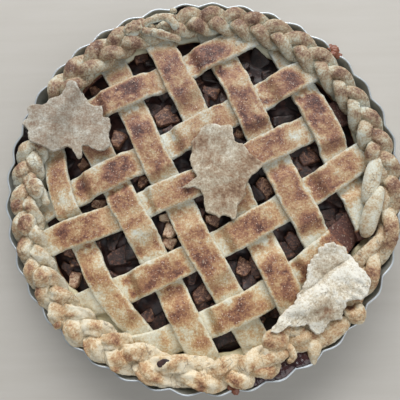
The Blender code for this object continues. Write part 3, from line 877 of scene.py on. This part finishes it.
def roll_shape(path, brown, seed):
    """Dough rolled by hand along a path, whose points are x, y, z, half-width and half-height."""
    rows = np.array(path, dtype=float)
    steps = np.linspace(0, 1, len(rows))
    length = np.linalg.norm(np.diff(rows[:, :3], axis=0), axis=1).sum()

    def spot(run):
        return np.stack([soft_interp(run, steps, rows[:, k]) for k in range(3)], axis=-1)

    def shape(turn, run):
        side, up = across_and_up(spot(np.minimum(run + 0.02, 1)) - spot(np.maximum(run - 0.02, 0)))
        wide, high = (soft_interp(run, steps, rows[:, k]) for k in (3, 4))
        taper = np.clip(np.minimum(run, 1 - run) * length / (1.8 * wide), 0, 1)
        taper = np.sqrt(1 - (1 - taper) ** 2)
        angle = math.tau * turn
        point = spot(run) - ROLL_END_DROP * (1 - taper)[:, None]
        point = point + side * (wide * taper * np.cos(angle))[:, None]
        point = point + up * (high * taper * np.sin(angle))[:, None]
        x, y, z = point.T
        return point, np.clip(0.1 + brown * smooth(np.sin(angle)) + 0.2 * cloud(x, y, z, 5.0, seed), 0, 1)

    return shape, length


# Loose dough on and beside the plait: name, how brown, and its path.
DOUGH_ROLLS = [
    ("open_loop_outer", 0.45, [
        (-45, 120.5, 32.5, 2.4, 2.2), (-34.5, 125.5, 34.5, 3.0, 2.0), (-25, 127, 34.5, 3.0, 2.0),
        (-16.5, 126, 32.5, 2.6, 2.2)]),
    ("open_loop_inner", 0.4, [
        (-44, 117, 33.5, 3.2, 2.6), (-34, 115, 34.5, 3.2, 2.4), (-24, 112.5, 33.0, 3.0, 2.2),
        (-12.5, 110, 30.5, 2.6, 2.0)]),
    ("open_loop_cross", 0.3, [
        (-28, 128, 34.5, 2.8, 2.0), (-20, 123, 35.5, 3.0, 2.4), (-15.5, 116, 33.5, 2.8, 2.2)]),
    ("open_loop_floor", 0.0, [(-37, 117, 30.0, 2.4, 1.5), (-26, 118.5, 30.0, 3.2, 1.5)]),
    ("rim_lump", 0.3, [(-23.5, 132.5, 31.5, 2.2, 2.0), (-16.5, 133.5, 31.5, 2.2, 2.0)]),
    ("pale_strand", 0.15, [
        (125.4, 23.0, 27.0, 3.0, 2.6), (123.0, 18.5, 30.5, 4.6, 3.6), (119.6, 11.0, 31.8, 5.7, 4.2),
        (117.0, 2.0, 32.0, 5.8, 4.2), (115.4, -6.8, 31.5, 5.4, 3.8), (115.0, -14.0, 27.5, 4.2, 3.2)]),
    ("pale_lobe", 0.15, [
        (124.4, 0.5, 31.5, 2.0, 2.2), (121.2, -6.0, 33.5, 4.0, 3.4), (118.0, -13.5, 33.2, 5.6, 4.0),
        (115.2, -21.5, 32.0, 6.0, 3.8), (113.6, -29.0, 30.0, 5.6, 3.4), (112.6, -35.5, 27.0, 4.4, 3.0)]),
    ("knob_tail", 0.35, [
        (60.0, -110.5, 31.0, 3.4, 3.0), (53.0, -111.0, 33.0, 4.8, 3.2), (46.0, -113.8, 33.5, 5.0, 3.2),
        (39.0, -118.5, 32.5, 4.4, 3.0), (31.0, -122.5, 30.0, 3.0, 2.6)]),
    ("tail_curl", 0.3, [
        (55.5, -104.5, 32.0, 2.4, 2.6), (60.0, -107.5, 33.0, 2.8, 3.0), (61.5, -113.5, 32.0, 2.4, 2.6),
        (57.0, -117.5, 30.5, 2.0, 2.2)]),
    ("pale_cone", 0.1, [
        (76.5, -100.5, 32.5, 5.8, 3.6), (75.4, -106.0, 32.4, 5.4, 3.6), (74.8, -111.0, 31.2, 4.0, 3.0),
        (74.8, -115.5, 29.5, 2.2, 2.0), (75.4, -119.0, 28.5, 1.2, 1.4)]),
    ("fold_back", 0.25, [
        (52.0, -99.0, 30.5, 3.0, 3.0), (57.0, -96.0, 33.0, 4.2, 3.4), (63.0, -96.3, 33.6, 3.8, 3.0),
        (70.5, -95.5, 33.0, 3.2, 2.8)]),
    ("fold_middle", 0.35, [
        (57.5, -102.0, 30.5, 3.6, 3.2), (63.0, -102.2, 32.5, 4.4, 3.2), (69.0, -100.0, 33.0, 4.0, 3.0),
        (74.0, -96.5, 32.5, 3.2, 2.8)]),
    ("lower_sheet", 0.35, [
        (60.0, -107.0, 29.5, 3.6, 2.6), (68.0, -104.6, 30.5, 5.8, 2.8), (77.0, -101.5, 30.5, 7.2, 2.6),
        (86.0, -97.5, 31.0, 7.2, 2.6), (93.0, -92.5, 31.0, 6.2, 2.8), (99.5, -88.0, 30.5, 4.0, 2.8)]),
    ("inner_seam", 0.1, [
        (-118.5, 8, 31.0, 3.4, 2.6), (-112.5, -3, 30.0, 3.2, 2.4), (-109, -12, 28.5, 2.6, 2.0)]),
]
# Rolls that were handled less, so they are smooth.
SMOOTH_ROLLS = ("pale_strand", "pale_lobe", "open_loop_floor", "knob_tail")
ROLL_LUMPS, SMOOTH_ROLL_LUMPS = ((7.0, 1.4), (1.7, 0.8)), ((7.0, 0.4), (1.7, 0.3))

# Rounded lumps: name, place, half-sizes, heading, how brown, and a dent if it has one.
DOUGH_LUMPS = [
    ("twist_knot", (-48.5, 118.5, 34.0), (7.5, 6.0, 4.0), 60, 0.6),
    ("left_knob", (-108.5, -61.5, 34.5), (7.5, 6.5, 4.5), 30, 0.45),
    ("edge_knob", (-97, -92.8, 31.5), (4.0, 3.0, 2.8), 20, 0.6),
    ("flaky_lump_1", (-121.8, -25.2, 33.5), (8.0, 6.5, 4.5), 10, 0.7),
    ("flaky_lump_2", (-129.5, -10.8, 32.0), (7.5, 5.0, 4.0), 5, 0.7),
    ("flaky_lump_3", (-116.7, 0.8, 33.5), (7.5, 6.0, 4.0), 150, 0.35),
    ("rim_flake", (-103.5, 80.5, 31.5), (4.6, 1.8, 1.6), 120, 0.3),
    ("fold_floor", (77, -98, 27.0), (24.0, 10.0, 4.5), 62, 0.1),
    ("curled_flake", (102.4, -84.0, 32.5), (8.2, 7.2, 4.6), 150, 0.3, (98.6, -79.6, 6.5, 7.5)),
]

# The gap between folds, painted as a dark lens in the syrup's finish that stands for the shade in it: x and
# y, its half-sizes, and its heading.
SHADED_GAP_PLACE, SHADED_GAP_HALF, SHADED_GAP_HEADING = (-24.0, -117.5), (4.6, 2.6, 0.8), 75


def top_of(objects, x, y):
    """The height of the highest of these pieces at a place."""
    bpy.context.view_layer.update()
    trees = [BVHTree.FromObject(obj, bpy.context.evaluated_depsgraph_get()) for obj in objects]
    hits = [tree.ray_cast(Vector((x * MM, y * MM, 0.1)), Vector((0, 0, -1)))[0] for tree in trees]
    return max(hit.z for hit in hits if hit) / MM


# Painted shade: a dark lens just proud of the dough, in the syrup's finish, stands for the deep gap between
# the folds.
def make_painted_gap_shade(objects):
    place = (*SHADED_GAP_PLACE, top_of(objects, *SHADED_GAP_PLACE) - 0.2)
    gap = ball("dark_gap_1", 28, 14, lump_shape(place, SHADED_GAP_HALF, SHADED_GAP_HEADING, 0, 0.0))
    roughen(gap, (2.5, 1.0))
    finish(gap, SYRUP, "apple_filling")


def make_loose_dough():
    made = []
    for number, (name, brown, path) in enumerate(DOUGH_ROLLS):
        shape, length = roll_shape(path, brown, number + 0.5)
        obj = rolled(f"dough_{name}", 28, round(length / 0.7), shape)
        roughen(obj, *(SMOOTH_ROLL_LUMPS if name in SMOOTH_ROLLS else ROLL_LUMPS))
        keep_in_tin(obj)
        made.append(finish(obj, PLAIT_PASTRY, "plait_pastry"))
    for number, (name, place, half, heading, *look) in enumerate(DOUGH_LUMPS):
        obj = ball(f"dough_{name}", 48, 30, lump_shape(place, half, heading, number + 0.3, *look))
        roughen(obj, (4.5, 1.8), (1.8, 1.0))
        keep_in_tin(obj)
        made.append(finish(obj, PLAIT_PASTRY, "plait_pastry"))
    return made


# The boiled-over syrup: the clock angle where it starts, the degrees it covers, its radius and its height.
SPILL_START, SPILL_SWEEP, SPILL_R, SPILL_Z = 141.5, 27.5, 132.4, 27.2


def spill_shape(turn, run):
    degrees = SPILL_START + SPILL_SWEEP * run
    edge = smooth(4 * np.minimum(run, 1 - run))
    angle = math.tau * turn
    reach = 6.4 * edge * (1 + 0.25 * cloud(degrees / 2.5, 0.0 * degrees, 0.0, 1.0, 6.0)) + 0.4
    radius = np.minimum(SPILL_R + reach * np.cos(angle), TIN_RIM_R - 1.5 - TIN_DEPTH_RIM * flute(degrees))
    x, y = at_clock(degrees, radius)
    z = SPILL_Z + 1.6 * smooth((radius - 130) / 6) + (1.3 * edge + 0.3) * np.sin(angle)
    return np.stack([x, y, z + 0.5 * cloud(x, y, 0.0, 3.0, 2.0) * (np.sin(angle) > 0)], axis=-1), 0.0


# Crumbs burnt on the rim: x, y, z and size.
CRUMBS = [
    (96.9, 99.3, 29.5, 4.2), (94.0, 102.5, 28.5, 2.6), (99.5, 96.0, 28.5, 2.8), (95.5, 96.5, 31.0, 2.4),
    (23.0, -134.7, 29.5, 3.6), (20.0, -133.5, 29.0, 2.4), (77.5, -112.5, 29.0, 1.8),
    (-20.5, 133.5, 28.0, 1.6),
]


def make_spill_and_crumbs():
    spill = rolled("spilt_syrup", 32, 200, spill_shape)
    roughen(spill, (3.0, 0.8))
    keep_in_tin(spill)
    finish(spill, SPILT_SYRUP, "apple_filling")
    for number, (x, y, z, size) in enumerate(CRUMBS):
        crumb = ball(f"burnt_crumb_{number + 1}", 24, 16,
                     lump_shape((x, y, z), (size, 0.75 * size, 0.6 * size), 40 * number, number, 0.3))
        roughen(crumb, (2.2, 1.6), (0.9, 0.6))
        finish(crumb, CRUMB, "apple_filling")


def make_knob():
    knob = ball("rolled_dough_knob", 60, 36, lump_shape((50.0, -102.4, 33.6), (9.4, 7.6, 5.0), 70, 1.5, 0.52))
    roughen(knob, (5.0, 1.4), (1.8, 0.8))
    finish(knob, PLAIT_PASTRY, "plait_pastry", "plait_b_knob")


# The leaves, as outlines seen from above

LEAF_OUTLINES = [
    [(-92.2, 79.0), (-89.2, 77.4), (-85.2, 69.8), (-80.6, 62.6), (-76.9, 60.6), (-70.4, 60.5),
     (-68.8, 50.9), (-64.6, 50.8), (-63.0, 44.9), (-64.7, 36.2), (-62.4, 31.1), (-66.9, 26.8),
     (-69.6, 26.1), (-75.9, 28.4), (-79.5, 30.6), (-83.8, 30.7), (-83.5, 22.0), (-86.0, 20.6),
     (-88.6, 24.2), (-91.3, 28.6), (-95.0, 30.8), (-100.3, 28.7), (-105.3, 26.6), (-109.0, 28.9),
     (-112.3, 30.4), (-119.7, 32.7), (-122.0, 35.7), (-122.3, 41.5), (-123.9, 43.8), (-127.4, 46.8),
     (-123.9, 51.2), (-122.6, 53.4), (-124.7, 59.4), (-120.0, 60.8), (-111.2, 60.6), (-107.7, 65.3),
     (-104.3, 65.9), (-99.8, 67.3), (-96.7, 72.3), (-95.0, 77.5)],
    [(3.4, 44.6), (9.6, 44.8), (14.4, 43.0), (20.6, 44.3), (23.3, 42.8), (23.3, 36.4), (25.3, 31.0),
     (30.7, 29.9), (33.4, 25.0), (38.1, 20.3), (44.7, 16.2), (42.7, 13.0), (34.2, 5.5), (31.7, 0.4),
     (31.6, -6.1), (29.6, -8.8), (25.5, -13.1), (25.4, -20.9), (22.7, -23.6), (20.1, -20.9),
     (16.1, -19.2), (13.4, -22.0), (10.0, -19.2), (4.6, -18.1), (3.3, -13.0), (2.6, -7.2), (1.0, -2.8),
     (-2.8, -0.2), (-13.0, -0.8), (-1.5, 6.7), (-5.6, 13.7), (-7.0, 19.3), (-4.9, 27.0), (-6.3, 31.2),
     (-2.2, 35.4)],
    [(72.4, -54.9), (74.6, -49.5), (79.5, -44.1), (82.3, -40.7), (87.8, -38.0), (91.7, -39.4),
     (95.7, -40.8), (99.0, -41.7), (98.5, -44.9), (102.7, -48.9), (105.2, -53.6), (108.3, -57.0),
     (112.6, -64.3), (110.3, -70.1), (107.3, -75.2), (102.2, -75.4), (97.0, -77.0), (94.9, -80.3),
     (93.8, -84.2), (93.4, -88.1), (88.3, -89.3), (84.4, -90.1), (82.3, -93.5), (79.0, -98.6),
     (74.7, -97.5), (72.1, -94.0), (68.6, -92.1), (64.6, -93.7), (60.7, -93.1), (56.8, -92.6),
     (53.5, -96.1), (49.6, -97.3), (45.6, -95.6), (50.5, -89.3), (59.0, -81.0), (63.6, -76.4),
     (68.6, -68.3), (70.8, -63.0)],
]
LEAF_MIDDLES = [(-93.5, 47.0), (14.5, 12.0), (84.5, -70.0)]
LEAF_THICKNESS = 2.6
# For each leaf, how torn its edge is, how far it is baked, how grainy it is, and its pastry.
LEAF_TORN, LEAF_BAKE, LEAF_GRAIN = (0.4, 0.4, 0.9), (0.44, 0.42, 0.34), (0.4, 0.4, 0.8)
LEAF_PASTRY = (OUTER_LEAF_PASTRY, MIDDLE_LEAF_PASTRY, OUTER_LEAF_PASTRY)
LEAF_FACES_ROUND = 240
FOLDED_LEAF = 2
# The third leaf's crease: one point of it, and the way across it over the plait. Past it the leaf stands in
# a fold: how far past its top is, and how high.
CREASE_POINT, CREASE_ACROSS = (78.0, -66.0), (0.58, -0.815)
FOLD_TOP, FOLD_HEIGHT = 13.5, 8.2
# Where the oven caught each leaf: x, y, radius and how much darker.
LEAF_BROWNS = [
    [(-76, 50, 12, 0.1)],
    [(-1, 32, 11, 0.28), (36, 18, 13, 0.34), (26, -1, 13, 0.42), (15, -8, 11, 0.2), (7, 15, 9, 0.24),
     (24, 10, 10, 0.16)],
    [(83.0, -81.5, 15, 0.45), (82, -55, 10, 0.16), (73, -89, 12, 0.14), (59, -91, 8, 0.14),
     (96, -72, 8, 0.12), (90, -50, 8, 0.12)],
]


def resting_height(x, y):
    """Height of what a leaf lies on: the lattice's crests, and the plait round it."""
    radius = np.hypot(x, y)
    crests = lattice_height(x, y) + WEAVE_LIFT + STRIP_THICKNESS / 2 + 0.5
    onto = smooth((radius - 103) / 13)
    off = smooth((radius - 133) / 20)
    return crests + (35.6 - crests) * onto - 3.0 * off


def even_outline(outline, count):
    """The outline as that many evenly spaced points, with its corners softened."""
    ring = np.array(outline + outline[:1], dtype=float)
    run = np.concatenate([[0], np.cumsum(np.hypot(*np.diff(ring, axis=0).T))])
    at = np.linspace(0, run[-1], count, endpoint=False)
    even = np.stack([np.interp(at, run, ring[:, 0]), np.interp(at, run, ring[:, 1])], axis=-1)
    for _ in range(2):
        even = (np.roll(even, 1, axis=0) + 2 * even + np.roll(even, -1, axis=0)) / 4
    return even


def past_crease(x, y):
    """How far past the third leaf's crease a point is."""
    past = (x - CREASE_POINT[0]) * CREASE_ACROSS[0] + (y - CREASE_POINT[1]) * CREASE_ACROSS[1]
    return past + 0.8 * cloud(x, y, 0.0, 12.0, 3.3)


def folded_height(x, y, past):
    """Height of what the third leaf lies on, with its crease, its fold and the wrinkles at its right."""
    fold = np.sqrt(np.clip(1 - ((past - FOLD_TOP) / np.where(past < FOLD_TOP, 14.5, 17.0)) ** 2, 0, 1))
    wrinkle = np.sin((0.6 * x + 0.8 * y) / 0.9 + 1.5 * cloud(x, y, 0.0, 6.0, 1.0))
    fold = fold + 0.05 * wrinkle * near(x, y, (104, -70), 14) * (past > 3)
    flat = lattice_height(x, y) + WEAVE_LIFT + STRIP_THICKNESS / 2
    hollow = np.exp(-((past + 0.6) / 1.1) ** 2)
    return flat + 0.8 * (past < 0) + FOLD_HEIGHT * fold - 1.2 * hollow


def leaf_bake(number, x, y, inset):
    """How far a leaf is baked: less along its edge, and more where the oven caught it."""
    ragged = cloud(x, y, 0.0, 3.0, number)
    bake = LEAF_BAKE[number] + 0.14 * cloud(x, y, 0.0, 9.0, 8.0 + number) + 0.1 * ragged
    bake = bake - 0.12 * (1 - smooth(inset / 3.0))
    for *place, reach, more in LEAF_BROWNS[number]:
        bake = bake + more * near(x, y, place, reach) * (1 + 0.4 * ragged)
    return bake


def leaf_shape(number, segments):
    edge = even_outline(LEAF_OUTLINES[number], segments)
    torn = np.stack([cloud(*edge.T, number, 2.4, 1.1), cloud(*edge.T, number, 2.4, 5.1)], axis=-1)
    edge = edge + LEAF_TORN[number] * torn
    middle = np.array(LEAF_MIDDLES[number])

    def shape(turn, latitude):
        border = edge[np.round(turn * segments).astype(int) % segments]
        share = 1 - np.abs(latitude) ** 1.35
        x, y = (middle + (border - middle) * share[:, None]).T
        inset = np.hypot(*(border - middle).T) * (1 - share)
        half = LEAF_THICKNESS / 2
        round_edge = half * np.sqrt(np.clip(1 - (1 - np.clip(inset / half, 0, 1)) ** 2, 0, 1))
        wave = 0.6 * cloud(x, y, 0.0, 17.0, number) + 0.35 * cloud(x, y, 0.0, 7.0, number + 5.0)
        bake = leaf_bake(number, x, y, inset)
        rest = resting_height(x, y)
        if number == FOLDED_LEAF:
            past = past_crease(x, y)
            wave = wave * (1 + 1.2 * (past > 1))
            rest = folded_height(x, y, past)
            # The whole leaf is paler; past the crease it is paler still, partly flour and partly a painted
            # highlight where the fold faces the window.
            bake = bake - 0.17 - 0.14 * smooth(past / 2)
        z = rest + half + 0.5 + wave + np.sign(latitude) * round_edge
        return np.stack([x, y, z], axis=-1), np.clip(bake, 0, 1)

    return shape


def make_leaves():
    made = []
    for number, material in enumerate(LEAF_PASTRY):
        shape = leaf_shape(number, LEAF_FACES_ROUND)
        obj = ball(f"maple_leaf_{number + 1}", LEAF_FACES_ROUND, 64, shape)
        roughen(obj, (5.0, 0.5), (1.6, LEAF_GRAIN[number]))
        made.append(finish(obj, material, "leaf_pastry", f"leaf_{number + 1}"))
    return made


# The apple pieces

# The pieces that show: x, y, length, width, height, heading, tip, and how dark.
APPLE_PLACES = [
    (-26, 54, 17, 13, 6, 60, 14, 0.52), (-61, 38, 13, 10, 6, 20, 16, 0.45),
    (7, 73, 13, 8, 6, 110, 12, 0.6), (28, 41, 8, 7, 5, 40, 8, 0.3), (46, 2, 15, 12, 6, 130, 14, 0.42),
    (76, 23, 14, 12, 6, 50, 14, 0.6), (101, -26, 20, 12, 6, 160, 10, 0.7),
    (-22, -30, 11, 9, 8, 30, 18, 0.12), (-26, -20, 8, 6, 7, 80, 12, 0.05),
    (-23, -38, 9, 8, 7, 110, 20, 0.2), (-59, -48, 16, 12, 6, 70, 10, 0.8),
    (-74, -10, 10, 7, 5, 100, 10, 0.3), (-42, 6, 9, 7, 6, 30, 10, 0.4),
    (-91, -64, 11, 7, 6, 10, 15, 0.25), (-87, 20, 7, 6, 5, 45, 10, 0.35),
    (8, -22, 10, 8, 6, 100, 12, 0.35), (0, -74, 13, 11, 6, 60, 12, 0.5),
    (30, -55, 12, 10, 6, 30, 12, 0.45), (64, -36, 12, 10, 6, 130, 10, 0.65),
    (-39, -89, 12, 8, 5, 70, 12, 0.55), (51, -85, 9, 7, 5, 20, 10, 0.75),
    (-81, 78, 9, 7, 5, 150, 12, 0.5), (-46, 103, 10, 8, 5, 60, 10, 0.6),
    (-109, -22, 12, 8, 5, 20, 8, 0.75), (-97, -55, 9, 7, 5, 120, 8, 0.7),
]
# How many pieces there are in all, how far out they lie, and how far apart at least.
APPLE_COUNT, APPLE_SPREAD, APPLE_SPACING = 190, 107.0, 8.5


def scatter_apples():
    """The pieces that show, and more between them at random."""
    draw = random.Random(7)
    rows = list(APPLE_PLACES)
    while len(rows) < APPLE_COUNT:
        degrees, radius = draw.uniform(0, 360), APPLE_SPREAD * math.sqrt(draw.random())
        x, y = radius * math.sin(math.radians(degrees)), radius * math.cos(math.radians(degrees))
        if min(math.hypot(x - row[0], y - row[1]) for row in rows) > APPLE_SPACING:
            size = draw.uniform(9, 17)
            wide, high = size * draw.uniform(0.55, 0.9), draw.uniform(3.5, 5.5)
            heading, tip = draw.uniform(0, 180), draw.uniform(-25, 25)
            # Painted shade: the random pieces are darker towards the top of the pie, where the holes lie in
            # the shadow of the strips and the plait.
            dark = draw.uniform(0.58, 1.0) + 0.12 * y / APPLE_SPREAD
            rows.append((x, y, size, wide, high, heading, tip, dark))
    return rows


def make_apples():
    rows = scatter_apples()
    obj = bevelled_cube("apple_pieces", 0.16, 2, cuts=2)
    copies = repeat(obj, len(rows))
    tone = np.empty(copies.shape[:2])
    for k, (x, y, long, wide, high, heading, tip, dark) in enumerate(rows):
        size = Matrix.Diagonal((long, wide, high, 1.0))
        turn = Matrix.Rotation(math.radians(90 - heading), 4, "Z")
        turn = turn @ Matrix.Rotation(math.radians(tip), 4, "Y")
        wedge = copies[k].copy()
        wedge[:, 1] *= 0.65 + 0.7 * (wedge[:, 0] + 0.5)
        matrix = np.array(turn @ size)
        copies[k] = wedge @ matrix[:3, :3].T
        copies[k] += (x, y, float(syrup_height(np.array(x), np.array(y))) + 0.22 * high)
        tone[k] = dark
    mould(obj, copies.reshape(-1, 3), tone.ravel())
    bpy.ops.object.shade_smooth()
    roughen(obj, (6.0, 3.6), (2.5, 1.8))
    soften = obj.modifiers.new("Soften", "SMOOTH")
    soften.factor, soften.iterations = 0.5, 3
    bpy.ops.object.modifier_apply(modifier=soften.name)
    roughen(obj, (1.4, 0.9))
    finish(obj, APPLE, "apple_filling")


# Sugar on the lattice

# It lies where the dough's normal points up by more than this, and not where juice has soaked in.
SUGAR_UPRIGHT, SUGAR_BAKE = 0.75, 0.99


def make_sugar_crystals(strips):
    """Sets out crystals at random on the strips' upper faces, more of them where the dough is browner."""
    draw = np.random.default_rng(3)
    spots, ways = [], []
    for strip in strips:
        mesh = strip.data
        co = vertices(strip) / MM
        normal = np.empty(3 * len(mesh.vertices))
        mesh.vertices.foreach_get("normal", normal)
        bake = np.empty(len(mesh.vertices), dtype=np.float32)
        mesh.attributes["bake"].data.foreach_get("value", bake)
        normal = normal.reshape(-1, 3)
        sugared = 0.006 + 0.1 * np.clip(bake - 0.25, 0, 1) ** 1.1
        on_top = (normal[:, 2] > SUGAR_UPRIGHT) & (bake < SUGAR_BAKE)
        chosen = draw.random(len(co)) < np.where(on_top, sugared, 0.0)
        spots.append(co[chosen])
        ways.append(normal[chosen])
    spots, ways = np.concatenate(spots), np.concatenate(ways)
    obj = bevelled_cube("sugar_crystals", 0.12, 1)
    copies = repeat(obj, len(spots))
    for k, (spot, way) in enumerate(zip(spots, ways)):
        turn = Matrix.Rotation(draw.uniform(0, math.tau), 3, Vector(draw.normal(size=3)).normalized())
        size = draw.uniform(0.3, 0.65) * draw.uniform(0.7, 1.2, size=3)
        copies[k] = (copies[k] * size) @ np.array(turn).T + spot + 0.15 * way
    mould(obj, copies.reshape(-1, 3), 0.0)
    finish(obj, SUGAR, "lattice_pastry")


# Table, light and camera

def make_table():
    bpy.ops.mesh.primitive_plane_add(size=3.0, location=(0, 0, 0))
    table = bpy.context.object
    table.name = "table"
    made, tree, shader, place = new_material("pale_washed_wood")
    along = add(tree, "Mapping", Vector=place, Scale=(0.12, 1.0, 1.0), Rotation=(0, 0, 0.08))
    grain = add(tree, "TexNoise", Vector=along, Scale=grains(9.0), Detail=5.0, Roughness=0.6)
    tone = add(tree, "Mix", **COLOURS, in_0=grain, in_6="#B5AFA6", in_7="#C1BCB5")
    feed(tree, shader, Base_Color=tone, Roughness=0.6)
    table.data.materials.append(made)
    table.select_set(False)


def aim(obj, target, north):
    """Turns a light or camera to its target, with that way up in its view."""
    back = (obj.location - target).normalized()
    up = (north - back * north.dot(back)).normalized()
    obj.rotation_euler = Matrix((up.cross(back), up, back)).transposed().to_euler()


def area_light(name, place, size, energy, light_tint):
    light = bpy.data.lights.new(name, "AREA")
    light.shape = "RECTANGLE"
    light.size, light.size_y = size
    light.energy = energy
    light.color = light_tint
    obj = bpy.data.objects.new(name, light)
    bpy.context.scene.collection.objects.link(obj)
    obj.location = place
    aim(obj, PIE_TOP, Vector((0, 0, 1)))


def make_light():
    area_light("window", (-0.1, 2.0, 1.35), (3.0, 1.5), 92.0, (0.975, 0.99, 1.0))
    area_light("ceiling", (0.7, -0.8, 1.2), (1.8, 1.8), 15.0, (0.95, 0.98, 1.0))
    world = bpy.data.worlds.new("room")
    world.use_nodes = True
    tree = world.node_tree
    feed(tree, tree.nodes["Background"], Color=(0.72, 0.76, 0.80, 1.0), Strength=0.17)
    bpy.context.scene.world = world
    bpy.context.scene.view_settings.view_transform = "Standard"


def make_camera():
    data = bpy.data.cameras.new("camera")
    data.sensor_width = SENSOR_WIDTH
    data.lens = SENSOR_WIDTH / 2 / math.tan(math.radians(CAMERA_VIEW / 2))
    camera = bpy.data.objects.new("camera", data)
    bpy.context.scene.collection.objects.link(camera)
    camera.location = CAMERA_PLACE
    aim(camera, CAMERA_TARGET, Vector((0, 1, 0)))
    bpy.context.scene.camera = camera


make_camera()
make_light()
make_table()
make_tin_piece()
make_case_and_filling()
lattice = make_lattice()
make_apples()
make_sugar_crystals(lattice)
dough = make_plait("plait_a", PLAIT_A, 0.0, ((9.0, 0.9), (1.7, 0.8)))
dough += make_plait("plait_b", PLAIT_B, 1.0, ((9.0, 1.8), (2.0, 1.5)))
make_knob()
dough += make_loose_dough()
make_spill_and_crumbs()
dough += make_leaves()
make_painted_gap_shade(dough)
